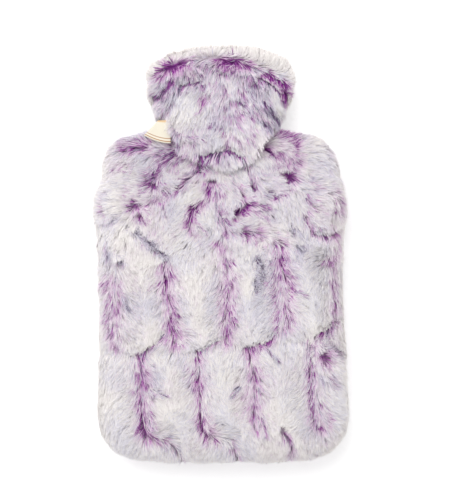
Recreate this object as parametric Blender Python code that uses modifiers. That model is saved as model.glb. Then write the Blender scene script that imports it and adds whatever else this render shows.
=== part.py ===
"""Hot water bottle cover in sculpted plush, plumped out and lying on its back.

Metres, +Z up. X runs across the cover, +Y runs up to its neck and Z is its thickness.
The origin is under the middle of the cover, on the surface that it lies on.
A front and a back panel meet in a flat side seam, each with its half of the neck. A collar is sewn
to the neck's top edge and turned down over it, and a folded ribbon tab hangs from the collar's edge.
Each wall is as thick as its backing and its pile together.
"""

import math
from collections import namedtuple

import bmesh
import bpy
import numpy as np

COLLECTION = "hot_water_bottle_cover"

# Driving dimensions.
FOOT_Y = -0.1826  # the cover's lower end
CREST_Y = 0.1826  # the top of the turned-down collar
SEAM_Z = 0.031  # the side seam lies half way up
SEAM_GAP = 0.0003  # between two pieces that are sewn together
EDGE_RADIUS = 0.031  # how round the cover's edge is between its two faces
PLUSH = 0.012  # backing and pile of a wall that lies free
PRESSED_PLUSH = 0.007  # the same where the collar presses on it
CROWN_DROP = 0.07  # how much of the front's height is lost at its sides
HALF_WIDTH = 0.110

# The panels' outline, from the lower end to the neck's top edge.
Station = namedtuple("Station", "y left right")
OUTLINE = (
    Station(FOOT_Y, -0.0360, 0.0440),
    Station(-0.1808, -0.0700, 0.0750),
    Station(-0.1738, -0.0915, 0.0950),
    Station(-0.1615, -0.1030, 0.1065),
    Station(-0.1404, -0.1086, 0.1117),
    Station(-0.0840, -0.1073, 0.1101),
    Station(-0.0400, -0.1074, 0.1078),
    Station(0.0128, -0.1091, 0.1078),
    Station(0.0427, -0.1117, 0.1104),
    Station(0.0656, -0.1052, 0.1058),
    Station(0.0849, -0.1030, 0.1021),
    Station(0.0972, -0.0968, 0.0950),
    Station(0.1040, -0.0860, 0.0870),
    Station(0.1075, -0.0700, 0.0720),
    Station(0.1098, -0.0540, 0.0560),
    Station(0.1115, -0.0445, 0.0445),
    Station(0.1150, -0.0420, 0.0420),
    Station(0.1220, -0.0420, 0.0420),
    Station(0.1380, -0.0420, 0.0420),
)
NECK_STATIONS = OUTLINE[-4:]  # the rows of the panels' meshes that lie in the neck
NECK_TOP_Y = OUTLINE[-1].y
SHOULDER_Y = 0.1100
NECK_HALF_WIDTH = OUTLINE[-1].right

# How the section changes along the cover: the height of each face over the side seam, the
# rounding of its edge, the wall, and how far the pocket's edge is moved towards the middle.
Section = namedtuple("Section", "y front back edge wall inset")
SECTIONS = (
    Section(FOOT_Y, 0.0310, 0.0325, 0.0310, PLUSH, PLUSH),
    Section(-0.1400, 0.0310, 0.0325, 0.0310, PLUSH, 0.0),
    Section(-0.0200, 0.0305, 0.0325, 0.0310, PLUSH, 0.0),
    Section(0.0300, 0.0280, 0.0325, 0.0300, PLUSH, 0.0),
    Section(0.0480, 0.0255, 0.0300, 0.0290, PLUSH, -0.002),
    Section(0.0740, 0.0205, 0.0178, 0.0250, 0.0095, -0.009),
    Section(SHOULDER_Y, 0.0180, 0.0170, 0.0180, PRESSED_PLUSH, -0.011),
    Section(0.1200, 0.0180, 0.0170, 0.0180, PRESSED_PLUSH, -0.009),
    Section(NECK_TOP_Y, 0.0180, 0.0170, 0.0180, PRESSED_PLUSH, 0.0),
)
NECK_FRONT = SECTIONS[-1].front
NECK_BACK = SECTIONS[-1].back

# Furrows where the pile of the front parts, each a straight stretch with its depth and half width.
Furrow = namedtuple("Furrow", "x0 y0 x1 y1 depth spread")
TILE_FURROWS = (
    # upper row of tiles
    Furrow(-0.100, -0.022, -0.090, -0.076, 0.0022, 0.0075),
    Furrow(-0.049, 0.006, -0.040, -0.072, 0.0034, 0.0075),
    Furrow(0.001, 0.014, 0.005, -0.070, 0.0034, 0.0075),
    Furrow(0.051, 0.012, 0.057, -0.062, 0.0034, 0.0075),
    Furrow(0.098, 0.018, 0.098, -0.060, 0.0028, 0.0075),
    # lower row, half a tile across
    Furrow(-0.071, -0.082, -0.067, -0.150, 0.0036, 0.0075),
    Furrow(-0.021, -0.081, -0.018, -0.145, 0.0034, 0.0075),
    Furrow(0.024, -0.076, 0.029, -0.146, 0.0034, 0.0075),
    Furrow(0.077, -0.072, 0.086, -0.148, 0.0034, 0.0075),
    # the last row runs down over the lower edge
    Furrow(-0.066, -0.152, -0.036, -0.172, 0.0026, 0.0070),
    Furrow(-0.018, -0.145, 0.013, -0.166, 0.0024, 0.0070),
    Furrow(0.054, -0.156, 0.063, -0.172, 0.0024, 0.0070),
)
GATHER_FURROWS = (
    # folds that fan out from under the collar
    Furrow(-0.084, 0.094, -0.058, 0.099, 0.0022, 0.0070),
    Furrow(-0.040, 0.090, -0.062, 0.063, 0.0036, 0.0070),
    Furrow(-0.078, 0.047, -0.058, 0.035, 0.0022, 0.0080),
    Furrow(-0.020, 0.076, -0.055, 0.050, 0.0028, 0.0070),
    Furrow(-0.074, 0.024, -0.046, 0.004, 0.0026, 0.0070),
    Furrow(-0.008, 0.070, -0.030, 0.034, 0.0036, 0.0070),
    Furrow(-0.030, 0.034, -0.014, 0.018, 0.0026, 0.0060),
    Furrow(-0.003, 0.060, 0.000, 0.014, 0.0030, 0.0060),
    Furrow(0.021, 0.082, 0.030, 0.064, 0.0024, 0.0060),
    Furrow(0.012, 0.034, 0.059, 0.062, 0.0032, 0.0070),
    Furrow(0.040, 0.092, 0.067, 0.080, 0.0026, 0.0070),
    Furrow(0.060, 0.071, 0.060, 0.070, 0.0030, 0.0090),
    Furrow(0.070, 0.056, 0.086, 0.022, 0.0026, 0.0070),
    Furrow(0.086, 0.022, 0.100, 0.020, 0.0022, 0.0060),
    Furrow(0.014, 0.018, 0.038, 0.016, 0.0022, 0.0060),
)
# The pile of one row of tiles ends in a step down on to the next: its line, left to right.
Ledge = namedtuple("Ledge", "x0 x1 y sag drop")
LEDGES = (
    Ledge(-0.102, -0.048, -0.074, 0.008, 0.0022),
    Ledge(-0.050, 0.002, -0.072, 0.009, 0.0022),
    Ledge(0.004, 0.052, -0.067, 0.010, 0.0022),
    Ledge(0.053, 0.100, -0.062, 0.009, 0.0022),
    Ledge(-0.066, -0.019, -0.154, 0.006, 0.0018),
    Ledge(-0.018, 0.030, -0.150, 0.006, 0.0018),
    Ledge(0.030, 0.086, -0.151, 0.006, 0.0018),
)
LEDGE_RISE = 0.022  # how far above a ledge the pile starts to thicken
LEDGE_SOFTNESS = 0.001

# The panels' meshes: steps round an edge, and columns and rows between two edges. The back is
# plain, so it takes fewer, and the inside is half as fine as the outside.
Fineness = namedtuple("Fineness", "round columns rows")
FRONT_FINENESS = Fineness(6, 28, 36)
BACK_FINENESS = Fineness(6, 8, 18)
INSIDE_SKIP = 2
OUTLINE_STEPS = 8
TABLE_STEPS = 6
GRID_HALF = 0.5
MERGE = 0.00001
SMOOTH_ANGLE = math.radians(50)

# The collar: a band whose section is a hook over the neck's top edge.
COLLAR_SIDES = 64
COLLAR_SQUARENESS = 2.8  # 2 is an ellipse, more is boxier
COLLAR_TOP = 0.0130  # height of the rounded crest
HEM_RADIUS = 0.0055
CREST_STEPS = 6
HEM_STEPS = 4
FLAP_STEPS = 9
INNER_STEPS = 2
FLAP_GAP = 0.0010  # between the neck and the flap over it
FLAP_CLEARANCE = 0.0015  # between the flap and the shoulders below it
FLOOR_PRESS = 0.0010  # how far the back of the collar is pressed flat where it lies
# The flap's outer half width at each height.
Girth = namedtuple("Girth", "y half_width centre")
COLLAR_GIRTHS = (
    Girth(0.0700, 0.0520, 0.0010),
    Girth(0.1100, 0.0535, -0.0010),
    Girth(0.1200, 0.0560, -0.0010),
    Girth(0.1350, 0.0620, -0.0005),
    Girth(0.1480, 0.0655, -0.0005),
    Girth(0.1620, 0.0625, -0.0005),
    Girth(CREST_Y, 0.0560, 0.0005),
)
FLAP_HALF_WIDTH = COLLAR_GIRTHS[1].half_width
# The crest droops towards its ends, and the hem hangs lowest in the middle of the front.
CollarEdge = namedtuple("CollarEdge", "x crest front_hem back_hem")
COLLAR_EDGES = (
    CollarEdge(-0.0600, 0.1650, 0.1195, 0.1195),
    CollarEdge(-0.0530, 0.1655, 0.1195, 0.1190),
    CollarEdge(-0.0450, 0.1755, 0.1190, 0.1140),
    CollarEdge(-0.0432, 0.1770, 0.0950, 0.1080),
    CollarEdge(-0.0360, 0.1800, 0.0865, 0.1020),
    CollarEdge(-0.0150, 0.1820, 0.0796, 0.0940),
    CollarEdge(0.0060, CREST_Y, 0.0726, 0.0920),
    CollarEdge(0.0210, 0.1822, 0.0780, 0.0940),
    CollarEdge(0.0320, 0.1805, 0.0850, 0.1000),
    CollarEdge(0.0420, 0.1770, 0.0970, 0.1040),
    CollarEdge(0.0480, 0.1725, 0.1080, 0.1100),
    CollarEdge(0.0530, 0.1670, 0.1130, 0.1130),
    CollarEdge(0.0600, 0.1665, 0.1135, 0.1135),
)
COLLAR_FURROWS = (
    # the parting along the crest
    Furrow(-0.052, 0.156, -0.034, 0.168, 0.0026, 0.0060),
    Furrow(-0.034, 0.168, 0.004, 0.171, 0.0014, 0.0060),
    Furrow(0.004, 0.171, 0.030, 0.160, 0.0028, 0.0060),
    Furrow(0.030, 0.160, 0.058, 0.142, 0.0034, 0.0060),
    # the dip between the left ear and the flap
    Furrow(-0.036, 0.150, -0.018, 0.153, 0.0026, 0.0050),
    Furrow(-0.034, 0.143, -0.046, 0.118, 0.0040, 0.0050),
    # pleats in the flap
    Furrow(-0.038, 0.112, -0.039, 0.090, 0.0028, 0.0045),
    Furrow(0.036, 0.138, 0.048, 0.122, 0.0024, 0.0060),
    Furrow(0.030, 0.124, 0.042, 0.112, 0.0020, 0.0060),
    Furrow(-0.010, 0.138, -0.020, 0.126, 0.0018, 0.0050),
    Furrow(0.004, 0.112, 0.006, 0.100, 0.0020, 0.0060),
    Furrow(-0.010, 0.092, 0.014, 0.092, 0.0022, 0.0055),
)

# The ribbon tab.
TAB_ROOT_X = -0.0480
TAB_TOP_Y = 0.1180
TAB_FOOT_Y = 0.0975
TAB_ROOT_Z = 0.0530
TAB_LENGTH_TOP = 0.0110
TAB_LENGTH_FOOT = 0.0200
TAB_FALL = 0.0030  # how much lower the fold hangs than the sewn end
TAB_SLANT = 0.0025  # how much higher the foot's fold is than its sewn end
TAB_OPEN = 0.0007  # half the distance between its two layers
RIBBON = 0.0006
TAB_STEPS = 8
TAB_FOLD_STEPS = 4
TAB_ROWS = 5

PLUSH_COLOUR = (0.80, 0.74, 0.82, 1.0)
COLLAR_COLOUR = (0.82, 0.76, 0.84, 1.0)
BACK_COLOUR = (0.78, 0.72, 0.80, 1.0)
RIBBON_COLOUR = (0.86, 0.79, 0.63, 1.0)
PLUSH_ROUGHNESS = 0.95
RIBBON_ROUGHNESS = 0.70


def clear_scene():
    """Remove every object that the file opened with."""
    for item in list(bpy.data.objects):
        bpy.data.objects.remove(item, do_unlink=True)


def column(table, name):
    """One named column of a table, as an array."""
    return np.array([getattr(row, name) for row in table])


def smooth_line(points, steps):
    """A Catmull-Rom curve through the points, with this many steps between two of them."""
    points = np.asarray(points, dtype=float)
    ends = np.vstack([2 * points[0] - points[1], points, 2 * points[-1] - points[-2]])
    t = np.linspace(0.0, 1.0, steps, endpoint=False)[:, None]
    pieces = []
    for a, b, c, d in zip(ends, ends[1:], ends[2:], ends[3:]):
        bend = (2 * a - 5 * b + 4 * c - d) * t**2
        twist = (3 * b - a - 3 * c + d) * t**3
        pieces.append(0.5 * (2 * b + (c - a) * t + bend + twist))
    return np.vstack([*pieces, points[-1:]])


def along(table, y, name):
    """A column's value at each y, on a smooth curve through the table's rows."""
    curve = smooth_line(np.stack([column(table, "y"), column(table, name)], axis=1), TABLE_STEPS)
    return np.interp(y, curve[:, 0], curve[:, 1])


def distance_to_line(x, y, line):
    """The distance of each place to a line of straight stretches."""
    start, end = line[:-1], line[1:]
    run = end - start
    place = np.stack([x.ravel(), y.ravel()], axis=1)[:, None, :]
    length = np.maximum((run**2).sum(1), 1e-18)
    part = np.clip(((place - start) * run).sum(2) / length, 0.0, 1.0)
    foot = start + run * part[:, :, None]
    return np.linalg.norm(place - foot, axis=2).min(1).reshape(x.shape)


def furrow_depth(x, y, furrows):
    """How deep the furrows are at each place. Where two meet, the deeper one counts."""
    depth = np.zeros_like(x)
    for furrow in furrows:
        line = np.array([(furrow.x0, furrow.y0), (furrow.x1, furrow.y1)])
        away = distance_to_line(x, y, line) / furrow.spread
        depth = np.maximum(depth, furrow.depth * np.exp(-(away**2)))
    return depth


def ledge_height(x, y):
    """How much each row of tiles thickens towards its lower end, where it steps down."""
    height = np.zeros_like(x)
    for ledge in LEDGES:
        half = (ledge.x1 - ledge.x0) / 2
        across = (x - ledge.x0 - half) / half
        inside = np.clip(1.0 - across**4, 0.0, 1.0)
        above = y - (ledge.y - ledge.sag * (1.0 - across**2))
        ramp = np.clip(1.0 - above / LEDGE_RISE, 0.0, 1.0)
        step = 1.0 / (1.0 + np.exp(-above / LEDGE_SOFTNESS))
        height = np.maximum(height, ledge.drop * inside * ramp * step)
    return height


def roundness(distance, radius):
    """The height of a quarter circle at each distance from the edge, as a share of its radius."""
    inward = np.clip(distance / radius, 0.0, 1.0)
    return np.sqrt(1.0 - (1.0 - inward) ** 2)


class Outline:
    """The panels' outline, or the pocket's, which lies a wall's thickness inside it."""

    def __init__(self, pocket):
        stations = np.array([tuple(station) for station in OUTLINE])
        curve = smooth_line(stations, OUTLINE_STEPS)
        y, left, right = curve.T
        wall = along(SECTIONS, y, "wall") if pocket else 0.0
        self.outer_y = y
        self.y = y + (along(SECTIONS, y, "inset") if pocket else 0.0)
        self.left = left + wall
        self.right = right - wall
        up_right = np.stack([self.right, self.y], axis=1)
        down_left = np.stack([self.left, self.y], axis=1)[::-1]
        self.line = np.vstack([down_left, up_right])

    def place(self, fractions, rows):
        """X and Y of a grid: each row runs from the left edge to the right one."""
        left = np.interp(rows, self.outer_y, self.left)
        right = np.interp(rows, self.outer_y, self.right)
        y = np.interp(rows, self.outer_y, self.y)
        x = left[:, None] + (right - left)[:, None] * fractions[None, :]
        return x, np.broadcast_to(y[:, None], x.shape).copy()

    def edge_distance(self, x, y):
        """How far each place is from the edge, the neck's open end left out."""
        return distance_to_line(x, y, self.line)

    def inside(self, x, y):
        """Whether each place lies within the outline."""
        left = np.interp(y, self.y, self.left)
        right = np.interp(y, self.y, self.right)
        return (x > left) & (x < right)


def edge_steps(fineness):
    """Distances in from an edge that turns over as a quarter circle, in equal turns."""
    turn = np.linspace(0.0, math.pi / 2, fineness.round + 1)
    return EDGE_RADIUS * (1.0 - np.cos(turn))


def column_fractions(fineness):
    """Columns across a panel, close together where its edges turn over."""
    edge = edge_steps(fineness) / (2 * HALF_WIDTH)
    middle = np.linspace(edge[-1], 1.0 - edge[-1], fineness.columns + 1)[1:-1]
    return np.concatenate([edge, middle, 1.0 - edge[::-1]])


def row_places(fineness):
    """Rows along a panel, close together at its lower edge, its shoulders and its neck."""
    foot = FOOT_Y + edge_steps(fineness)
    shoulder = SHOULDER_Y - edge_steps(fineness)[::-1]
    body = np.linspace(foot[-1], shoulder[0], fineness.rows + 1)[1:-1]
    return np.concatenate([foot, body, shoulder, column(NECK_STATIONS, "y")])


def front_height(x, y, outline):
    """Height of the front's pile over the side seam."""
    crown = 1.0 - CROWN_DROP * np.clip(x / HALF_WIDTH, -1.0, 1.0) ** 2
    edge = roundness(outline.edge_distance(x, y), along(SECTIONS, y, "edge"))
    furrows = furrow_depth(x, y, TILE_FURROWS + GATHER_FURROWS)
    relief = (ledge_height(x, y) - furrows) * edge
    return along(SECTIONS, y, "front") * crown * edge + relief


def back_depth(x, y, outline):
    """Depth of the back's pile under the side seam. It is pressed flat where it lies."""
    edge = roundness(outline.edge_distance(x, y), along(SECTIONS, y, "edge"))
    return np.minimum(along(SECTIONS, y, "back") * edge, SEAM_Z)


def pocket_height(x, y, outer_y, outline, name):
    """Height of the pocket's wall from the side seam, for the front or for the back."""
    wall = along(SECTIONS, outer_y, "wall")
    radius = along(SECTIONS, outer_y, "edge") - wall
    full = np.minimum(along(SECTIONS, outer_y, name), SEAM_Z) - wall
    return full * roundness(outline.edge_distance(x, y), radius)


def add_grid(bm, x, y, z):
    """A sheet of quads through a grid of places. Returns its vertices by row and column."""
    rows, columns = x.shape
    made = bmesh.ops.create_grid(bm, x_segments=columns - 1, y_segments=rows - 1, size=GRID_HALF)
    placed = {}
    for vertex in made["verts"]:
        i = round((vertex.co.x + GRID_HALF) * (columns - 1))
        j = round((vertex.co.y + GRID_HALF) * (rows - 1))
        vertex.co = (x[j, i], y[j, i], z[j, i])
        placed[j, i] = vertex
    return placed


def split_lower_corners(bm, placed, columns):
    """Cut the two lower corner quads from their corner inwards, so that no half lies in the rim."""
    for corner, inner in (((0, 0), (1, 1)), ((0, columns - 1), (1, columns - 2))):
        bmesh.ops.connect_verts(bm, verts=[placed[corner], placed[inner]])


def material(name, colour, roughness):
    """A plain material."""
    made = bpy.data.materials.new(name)
    made.use_nodes = True
    shader = made.node_tree.nodes["Principled BSDF"]
    shader.inputs["Base Color"].default_value = colour
    shader.inputs["Roughness"].default_value = roughness
    shader.inputs["Metallic"].default_value = 0.0
    return made


def finish(bm, name, collection, colour, roughness):
    """Turn a mesh in the making into an object of the cover."""
    bmesh.ops.recalc_face_normals(bm, faces=bm.faces)
    mesh = bpy.data.meshes.new(name)
    bm.to_mesh(mesh)
    bm.free()
    mesh.shade_smooth()
    mesh.set_sharp_from_angle(angle=SMOOTH_ANGLE)
    mesh.materials.append(material(f"{name}_material", colour, roughness))
    made = bpy.data.objects.new(name, mesh)
    collection.objects.link(made)
    return made


def panel(name, collection, is_front, colour):
    """One panel: an outer sheet and a pocket wall, joined by a flat rim along the side seam."""
    fineness = FRONT_FINENESS if is_front else BACK_FINENESS
    fractions, rows = column_fractions(fineness), row_places(fineness)
    sign = 1.0 if is_front else -1.0
    rim = SEAM_Z + sign * SEAM_GAP / 2
    bm = bmesh.new()

    outside = Outline(pocket=False)
    x, y = outside.place(fractions, rows)
    height = front_height(x, y, outside) if is_front else back_depth(x, y, outside)
    z = np.clip(SEAM_Z + sign * np.maximum(height, SEAM_GAP / 2), 0.0, None)
    split_lower_corners(bm, add_grid(bm, x, y, z), len(fractions))

    inside = Outline(pocket=True)
    rows_inside = rows[::INSIDE_SKIP]
    x, y = inside.place(fractions[::INSIDE_SKIP], rows_inside)
    outer_y = np.broadcast_to(rows_inside[:, None], x.shape)
    height = pocket_height(x, y, outer_y, inside, "front" if is_front else "back")
    add_grid(bm, x, y, rim + sign * height)

    border = [edge for edge in bm.edges if edge.is_boundary]
    bmesh.ops.bridge_loops(bm, edges=border)
    return finish(bm, name, collection, colour, PLUSH_ROUGHNESS)


def power(value, exponent):
    """A power that keeps the sign of what it is given."""
    return np.sign(value) * np.abs(value) ** exponent


class CollarShape:
    """The three surfaces that the collar's section runs along, at each turn round the neck."""

    def __init__(self, turn):
        self.across = power(np.cos(turn), 2 / COLLAR_SQUARENESS)[:, None]
        self.up = power(np.sin(turn), 2 / COLLAR_SQUARENESS)[:, None]
        self.front = np.sin(turn)[:, None] >= 0.0
        self.neck = np.where(self.front, NECK_FRONT, NECK_BACK)
        self.panels = Outline(pocket=False)
        edge_x = FLAP_HALF_WIDTH * self.across[:, 0]
        table_x = column(COLLAR_EDGES, "x")
        self.crest = np.interp(edge_x, table_x, column(COLLAR_EDGES, "crest"))
        front_hem = np.interp(edge_x, table_x, column(COLLAR_EDGES, "front_hem"))
        back_hem = np.interp(edge_x, table_x, column(COLLAR_EDGES, "back_hem"))
        self.hem = np.where(self.front[:, 0], front_hem, back_hem)

    def mouth(self):
        """X and Z of the inside, flush with the mouth in the neck."""
        x = (NECK_HALF_WIDTH - PRESSED_PLUSH) * self.across
        z = SEAM_Z + (self.neck - PRESSED_PLUSH) * self.up
        return x, z

    def lift(self, y):
        """How far the flap is pushed off the neck's line by the neck and shoulders under it."""
        x, z = self.underside_line(y)
        above = SEAM_Z + front_height(x, y, self.panels) + FLAP_CLEARANCE - z
        below = SEAM_Z - back_depth(x, y, self.panels) - FLAP_CLEARANCE - z
        on_panels = self.panels.inside(x, y)
        return np.where(self.front, np.maximum(above, 0.0), np.minimum(below, 0.0)) * on_panels

    def underside_line(self, y):
        """X and Z of a line round the neck, a gap away from it."""
        x = (NECK_HALF_WIDTH + FLAP_GAP) * self.across + 0.0 * y
        z = SEAM_Z + (self.neck + FLAP_GAP) * self.up + 0.0 * y
        return x, z

    def underside(self, y):
        """X and Z of the flap's inner face."""
        x, z = self.underside_line(y)
        return x, z + self.lift(y)

    def outside(self, y):
        """X and Z of the pile's outer face, with the furrows in its front."""
        x = along(COLLAR_GIRTHS, y, "centre") + along(COLLAR_GIRTHS, y, "half_width") * self.across
        full = np.where(self.front, NECK_FRONT + FLAP_GAP + PLUSH, SEAM_Z + FLOOR_PRESS)
        z = SEAM_Z + full * self.up + self.lift(y)
        furrows = furrow_depth(x, y, COLLAR_FURROWS) * np.clip(self.up, 0.0, 1.0)
        return x, np.maximum(z - furrows, 0.0)


def collar(collection):
    """The collar: a hook-shaped section carried round the neck as a flattened ring."""
    shape = CollarShape(np.arange(COLLAR_SIDES + 1) % COLLAR_SIDES * 2 * math.pi / COLLAR_SIDES)
    seam_y = NECK_TOP_Y + SEAM_GAP
    crest_foot = shape.crest - COLLAR_TOP
    hem_top = shape.hem + HEM_RADIUS
    half_turn = np.linspace(0.0, math.pi, CREST_STEPS + 1)
    hem_turn = np.linspace(0.0, math.pi, HEM_STEPS + 1)

    # Each step of the section: its height, and its share of the mouth's, the outer and the under face.
    heights, shares = [], []
    for part in np.linspace(0.0, 1.0, INNER_STEPS, endpoint=False):
        heights.append(seam_y + (crest_foot - seam_y) * part)
        shares.append((1.0, 0.0, 0.0))
    for angle in half_turn:
        outer = (1.0 - math.cos(angle)) / 2
        heights.append(crest_foot + COLLAR_TOP * math.sin(angle))
        shares.append((1.0 - outer, outer, 0.0))
    for part in np.linspace(0.0, 1.0, FLAP_STEPS + 1)[1:-1]:
        heights.append(crest_foot + (hem_top - crest_foot) * part)
        shares.append((0.0, 1.0, 0.0))
    for angle in hem_turn:
        under = (1.0 - math.cos(angle)) / 2
        heights.append(hem_top - HEM_RADIUS * math.sin(angle))
        shares.append((0.0, 1.0 - under, under))
    for part in np.linspace(0.0, 1.0, INNER_STEPS + 1)[1:]:
        heights.append(hem_top + (seam_y - hem_top) * part)
        shares.append((0.0, 0.0, 1.0))
    heights.append(heights[0])
    shares.append(shares[0])

    y = np.stack(heights, axis=1)
    mouth, outer, under = np.array(shares).T
    x, z = (
        mouth * inside + outer * outside + under * underside
        for inside, outside, underside in zip(shape.mouth(), shape.outside(y), shape.underside(y))
    )
    bm = bmesh.new()
    add_grid(bm, x, y, z)
    bmesh.ops.remove_doubles(bm, verts=bm.verts, dist=MERGE)
    return finish(bm, "collar", collection, COLLAR_COLOUR, PLUSH_ROUGHNESS)


def tab(collection):
    """The ribbon tab: a strip that runs out, folds over and runs back under itself."""
    run = np.linspace(0.0, 1.0, TAB_STEPS + 1)
    fold = np.linspace(0.0, math.pi, TAB_FOLD_STEPS + 1)[1:-1]
    out = np.concatenate([run, np.ones(len(fold)), run[::-1]])
    turn = np.concatenate([np.zeros(len(run)), fold, np.full(len(run), math.pi)])
    down = np.linspace(0.0, 1.0, TAB_ROWS + 1)[:, None]
    length = TAB_LENGTH_TOP + (TAB_LENGTH_FOOT - TAB_LENGTH_TOP) * down
    x = TAB_ROOT_X - length * out - TAB_OPEN * np.sin(turn)
    y = TAB_TOP_Y + (TAB_FOOT_Y - TAB_TOP_Y) * down + TAB_SLANT * down * out
    z = TAB_ROOT_Z - TAB_FALL * out**2 + TAB_OPEN * np.cos(turn) + 0.0 * down
    bm = bmesh.new()
    add_grid(bm, x, y, z)
    made = finish(bm, "label", collection, RIBBON_COLOUR, RIBBON_ROUGHNESS)
    wall = made.modifiers.new("ribbon", "SOLIDIFY")
    wall.thickness = RIBBON
    wall.offset = 0.0
    return made


def build():
    """Make the whole cover."""
    clear_scene()
    collection = bpy.data.collections.new(COLLECTION)
    bpy.context.scene.collection.children.link(collection)
    panel("front_panel", collection, True, PLUSH_COLOUR)
    panel("back_panel", collection, False, BACK_COLOUR)
    collar(collection)
    tab(collection)


build()
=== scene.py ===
"""A plush hot water bottle cover, plumped out and lying on its back.

Frosted pile stands on a knitted backing: a front and a back, a collar turned down over the neck,
and a folded ribbon tab at the collar's edge. Metres, +Z up, and +Y runs to the neck.
"""

import logging
import math
from dataclasses import dataclass, field
from enum import Enum

import bpy
import numpy as np
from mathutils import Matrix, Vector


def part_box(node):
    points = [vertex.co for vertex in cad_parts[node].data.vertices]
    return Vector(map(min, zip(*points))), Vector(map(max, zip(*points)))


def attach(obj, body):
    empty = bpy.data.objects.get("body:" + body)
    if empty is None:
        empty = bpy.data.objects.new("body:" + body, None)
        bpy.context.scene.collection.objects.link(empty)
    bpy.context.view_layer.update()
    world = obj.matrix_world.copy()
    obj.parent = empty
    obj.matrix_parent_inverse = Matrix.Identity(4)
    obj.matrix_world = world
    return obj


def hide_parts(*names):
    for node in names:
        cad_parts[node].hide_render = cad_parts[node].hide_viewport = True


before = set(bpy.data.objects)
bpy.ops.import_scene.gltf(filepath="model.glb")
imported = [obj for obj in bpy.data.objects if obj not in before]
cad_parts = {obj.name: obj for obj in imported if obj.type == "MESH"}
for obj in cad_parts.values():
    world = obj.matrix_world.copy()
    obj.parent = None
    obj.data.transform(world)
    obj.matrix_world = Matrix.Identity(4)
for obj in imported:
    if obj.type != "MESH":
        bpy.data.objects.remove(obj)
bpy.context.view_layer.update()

log = logging.getLogger("hot_water_bottle_cover")

# The frame that the looks are fitted to.
SEAM_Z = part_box("front_panel")[0].z
FOOT_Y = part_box("front_panel")[0].y
NECK_TOP_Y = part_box("front_panel")[1].y
CREST_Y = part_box("collar")[1].y
HALF_WIDTH = 0.110
ROUNDING = 11  # grid lines over a rounded edge, and up the neck
EDGE = 0.031  # how deep the rounding of the body's edge is
NECK_Y = 0.1100  # where the body ends and the neck begins
NECK_HALF_WIDTH = 0.042
NECK_WALL = 0.007
NECK_FRONT = 0.0180  # how far the neck's front stands over the seam
NECK_BACK = 0.0170
PILE = 0.0055  # how far the pile stands out from its backing
BACKING = 0.0015
PRESSED = 0.0040  # what is left of the pile where the cover lies on it
PILE_TOP_Y = 0.1125  # past it the collar covers the body, and no pile stands there
ROOM = 0.03  # more room than a strand ever takes up
NET = 4096  # how many clumps of pile a net tells apart
MM = 0.001


class Face(Enum):
    """The two faces of the body."""

    FRONT = 1.0
    BACK = -1.0


class Lean(Enum):
    """How the pile leans by a line on the cloth."""

    BOTH = "away to both sides"
    BELOW = "away to both sides, under pile that hangs over the upper end"
    UNDER = "over the line from above: roots show under its tips"
    AROUND = "away all round"
    # ALONG's dark lock is partly dyed fibre and partly painted shade: its dark strands stand for the shadowed
    # gap between locks.
    ALONG = "along the line, as one dark lock"
    UPRIGHT = "straight up and every way"


@dataclass(frozen=True)
class Station:
    """The body's left and right edge at one height."""

    y: float
    left: float
    right: float


@dataclass(frozen=True)
class Section:
    """How the body's section is at one height: what its faces rise, their rounding, and the pile's share
    by which the backing's outline is moved towards the middle."""

    y: float
    front: float
    back: float
    edge: float
    inward: float


@dataclass(frozen=True)
class Ledge:
    """The lower end of a tile, where its pile is thickest and steps down on to the next row."""

    x0: float
    x1: float
    y: float
    sag: float
    drop: float


@dataclass(frozen=True)
class Foot:
    """How places lie to a line: the unit vector away from the line's nearest point, the line's own
    direction there, the distance, and how squarely a place lies beside the line, not past its end."""

    away_x: np.ndarray
    away_y: np.ndarray
    along_x: np.ndarray
    along_y: np.ndarray
    distance: np.ndarray
    beside: np.ndarray


@dataclass(frozen=True)
class Parting:
    """A line that the pile parts from, with the dye that its roots show.

    points are the line's places in millimetres, dye is how much of the dyed roots shows, spread how many
    millimetres from the line, and the grey share how grey the dye is there: partly slate grey and partly
    painted shade, where dark grey strands stand for a shadowed gap, a pleat or the shade under the collar's
    hem.
    """

    points: tuple[tuple[float, float], ...]
    dye: float
    spread: float = 5.5
    lean: Lean = Lean.BOTH
    slate_and_shade: float = 0.0

    def curve(self) -> np.ndarray:
        """The line's places in metres, on a smooth curve."""
        points = np.array(self.points) * MM
        return smooth_line(points, 4) if len(points) > 2 else points

    def foot(self, x: np.ndarray, y: np.ndarray) -> Foot:
        """Find the line's nearest stretch from each place.

        Args:
            x: Places across the cover.
            y: Places along it.

        Returns:
            How the places lie to the line.
        """
        line = self.curve()
        best = np.full(x.shape, np.inf)
        gap_x, gap_y = np.zeros_like(x), np.zeros_like(x)
        along_x, along_y = np.zeros_like(x), np.zeros_like(x)
        for (x0, y0), (x1, y1) in zip(line, line[1:]):
            run_x, run_y = x1 - x0, y1 - y0
            length = max(math.hypot(run_x, run_y), 1e-9)
            part = np.clip(((x - x0) * run_x + (y - y0) * run_y) / length**2, 0.0, 1.0)
            dx, dy = x - x0 - run_x * part, y - y0 - run_y * part
            distance = np.hypot(dx, dy)
            nearer = distance < best
            best = np.where(nearer, distance, best)
            gap_x, gap_y = np.where(nearer, dx, gap_x), np.where(nearer, dy, gap_y)
            along_x = np.where(nearer, run_x / length, along_x)
            along_y = np.where(nearer, run_y / length, along_y)
        best = np.maximum(best, 1e-6)
        away_x, away_y = gap_x / best, gap_y / best
        beside = np.abs(away_x * along_y - away_y * along_x)
        return Foot(away_x, away_y, along_x, along_y, best, beside)


@dataclass(frozen=True)
class Panel:
    """How finely a panel is built: its grid's cells across and along, how many strands of pile are sown
    on it, and their seed."""

    columns: int
    rows: int
    strands: int
    seed: int


def rows_of(kind: type, *rows: tuple) -> tuple:
    """A table: each plain row made one of a kind."""
    return tuple(kind(*row) for row in rows)


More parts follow.
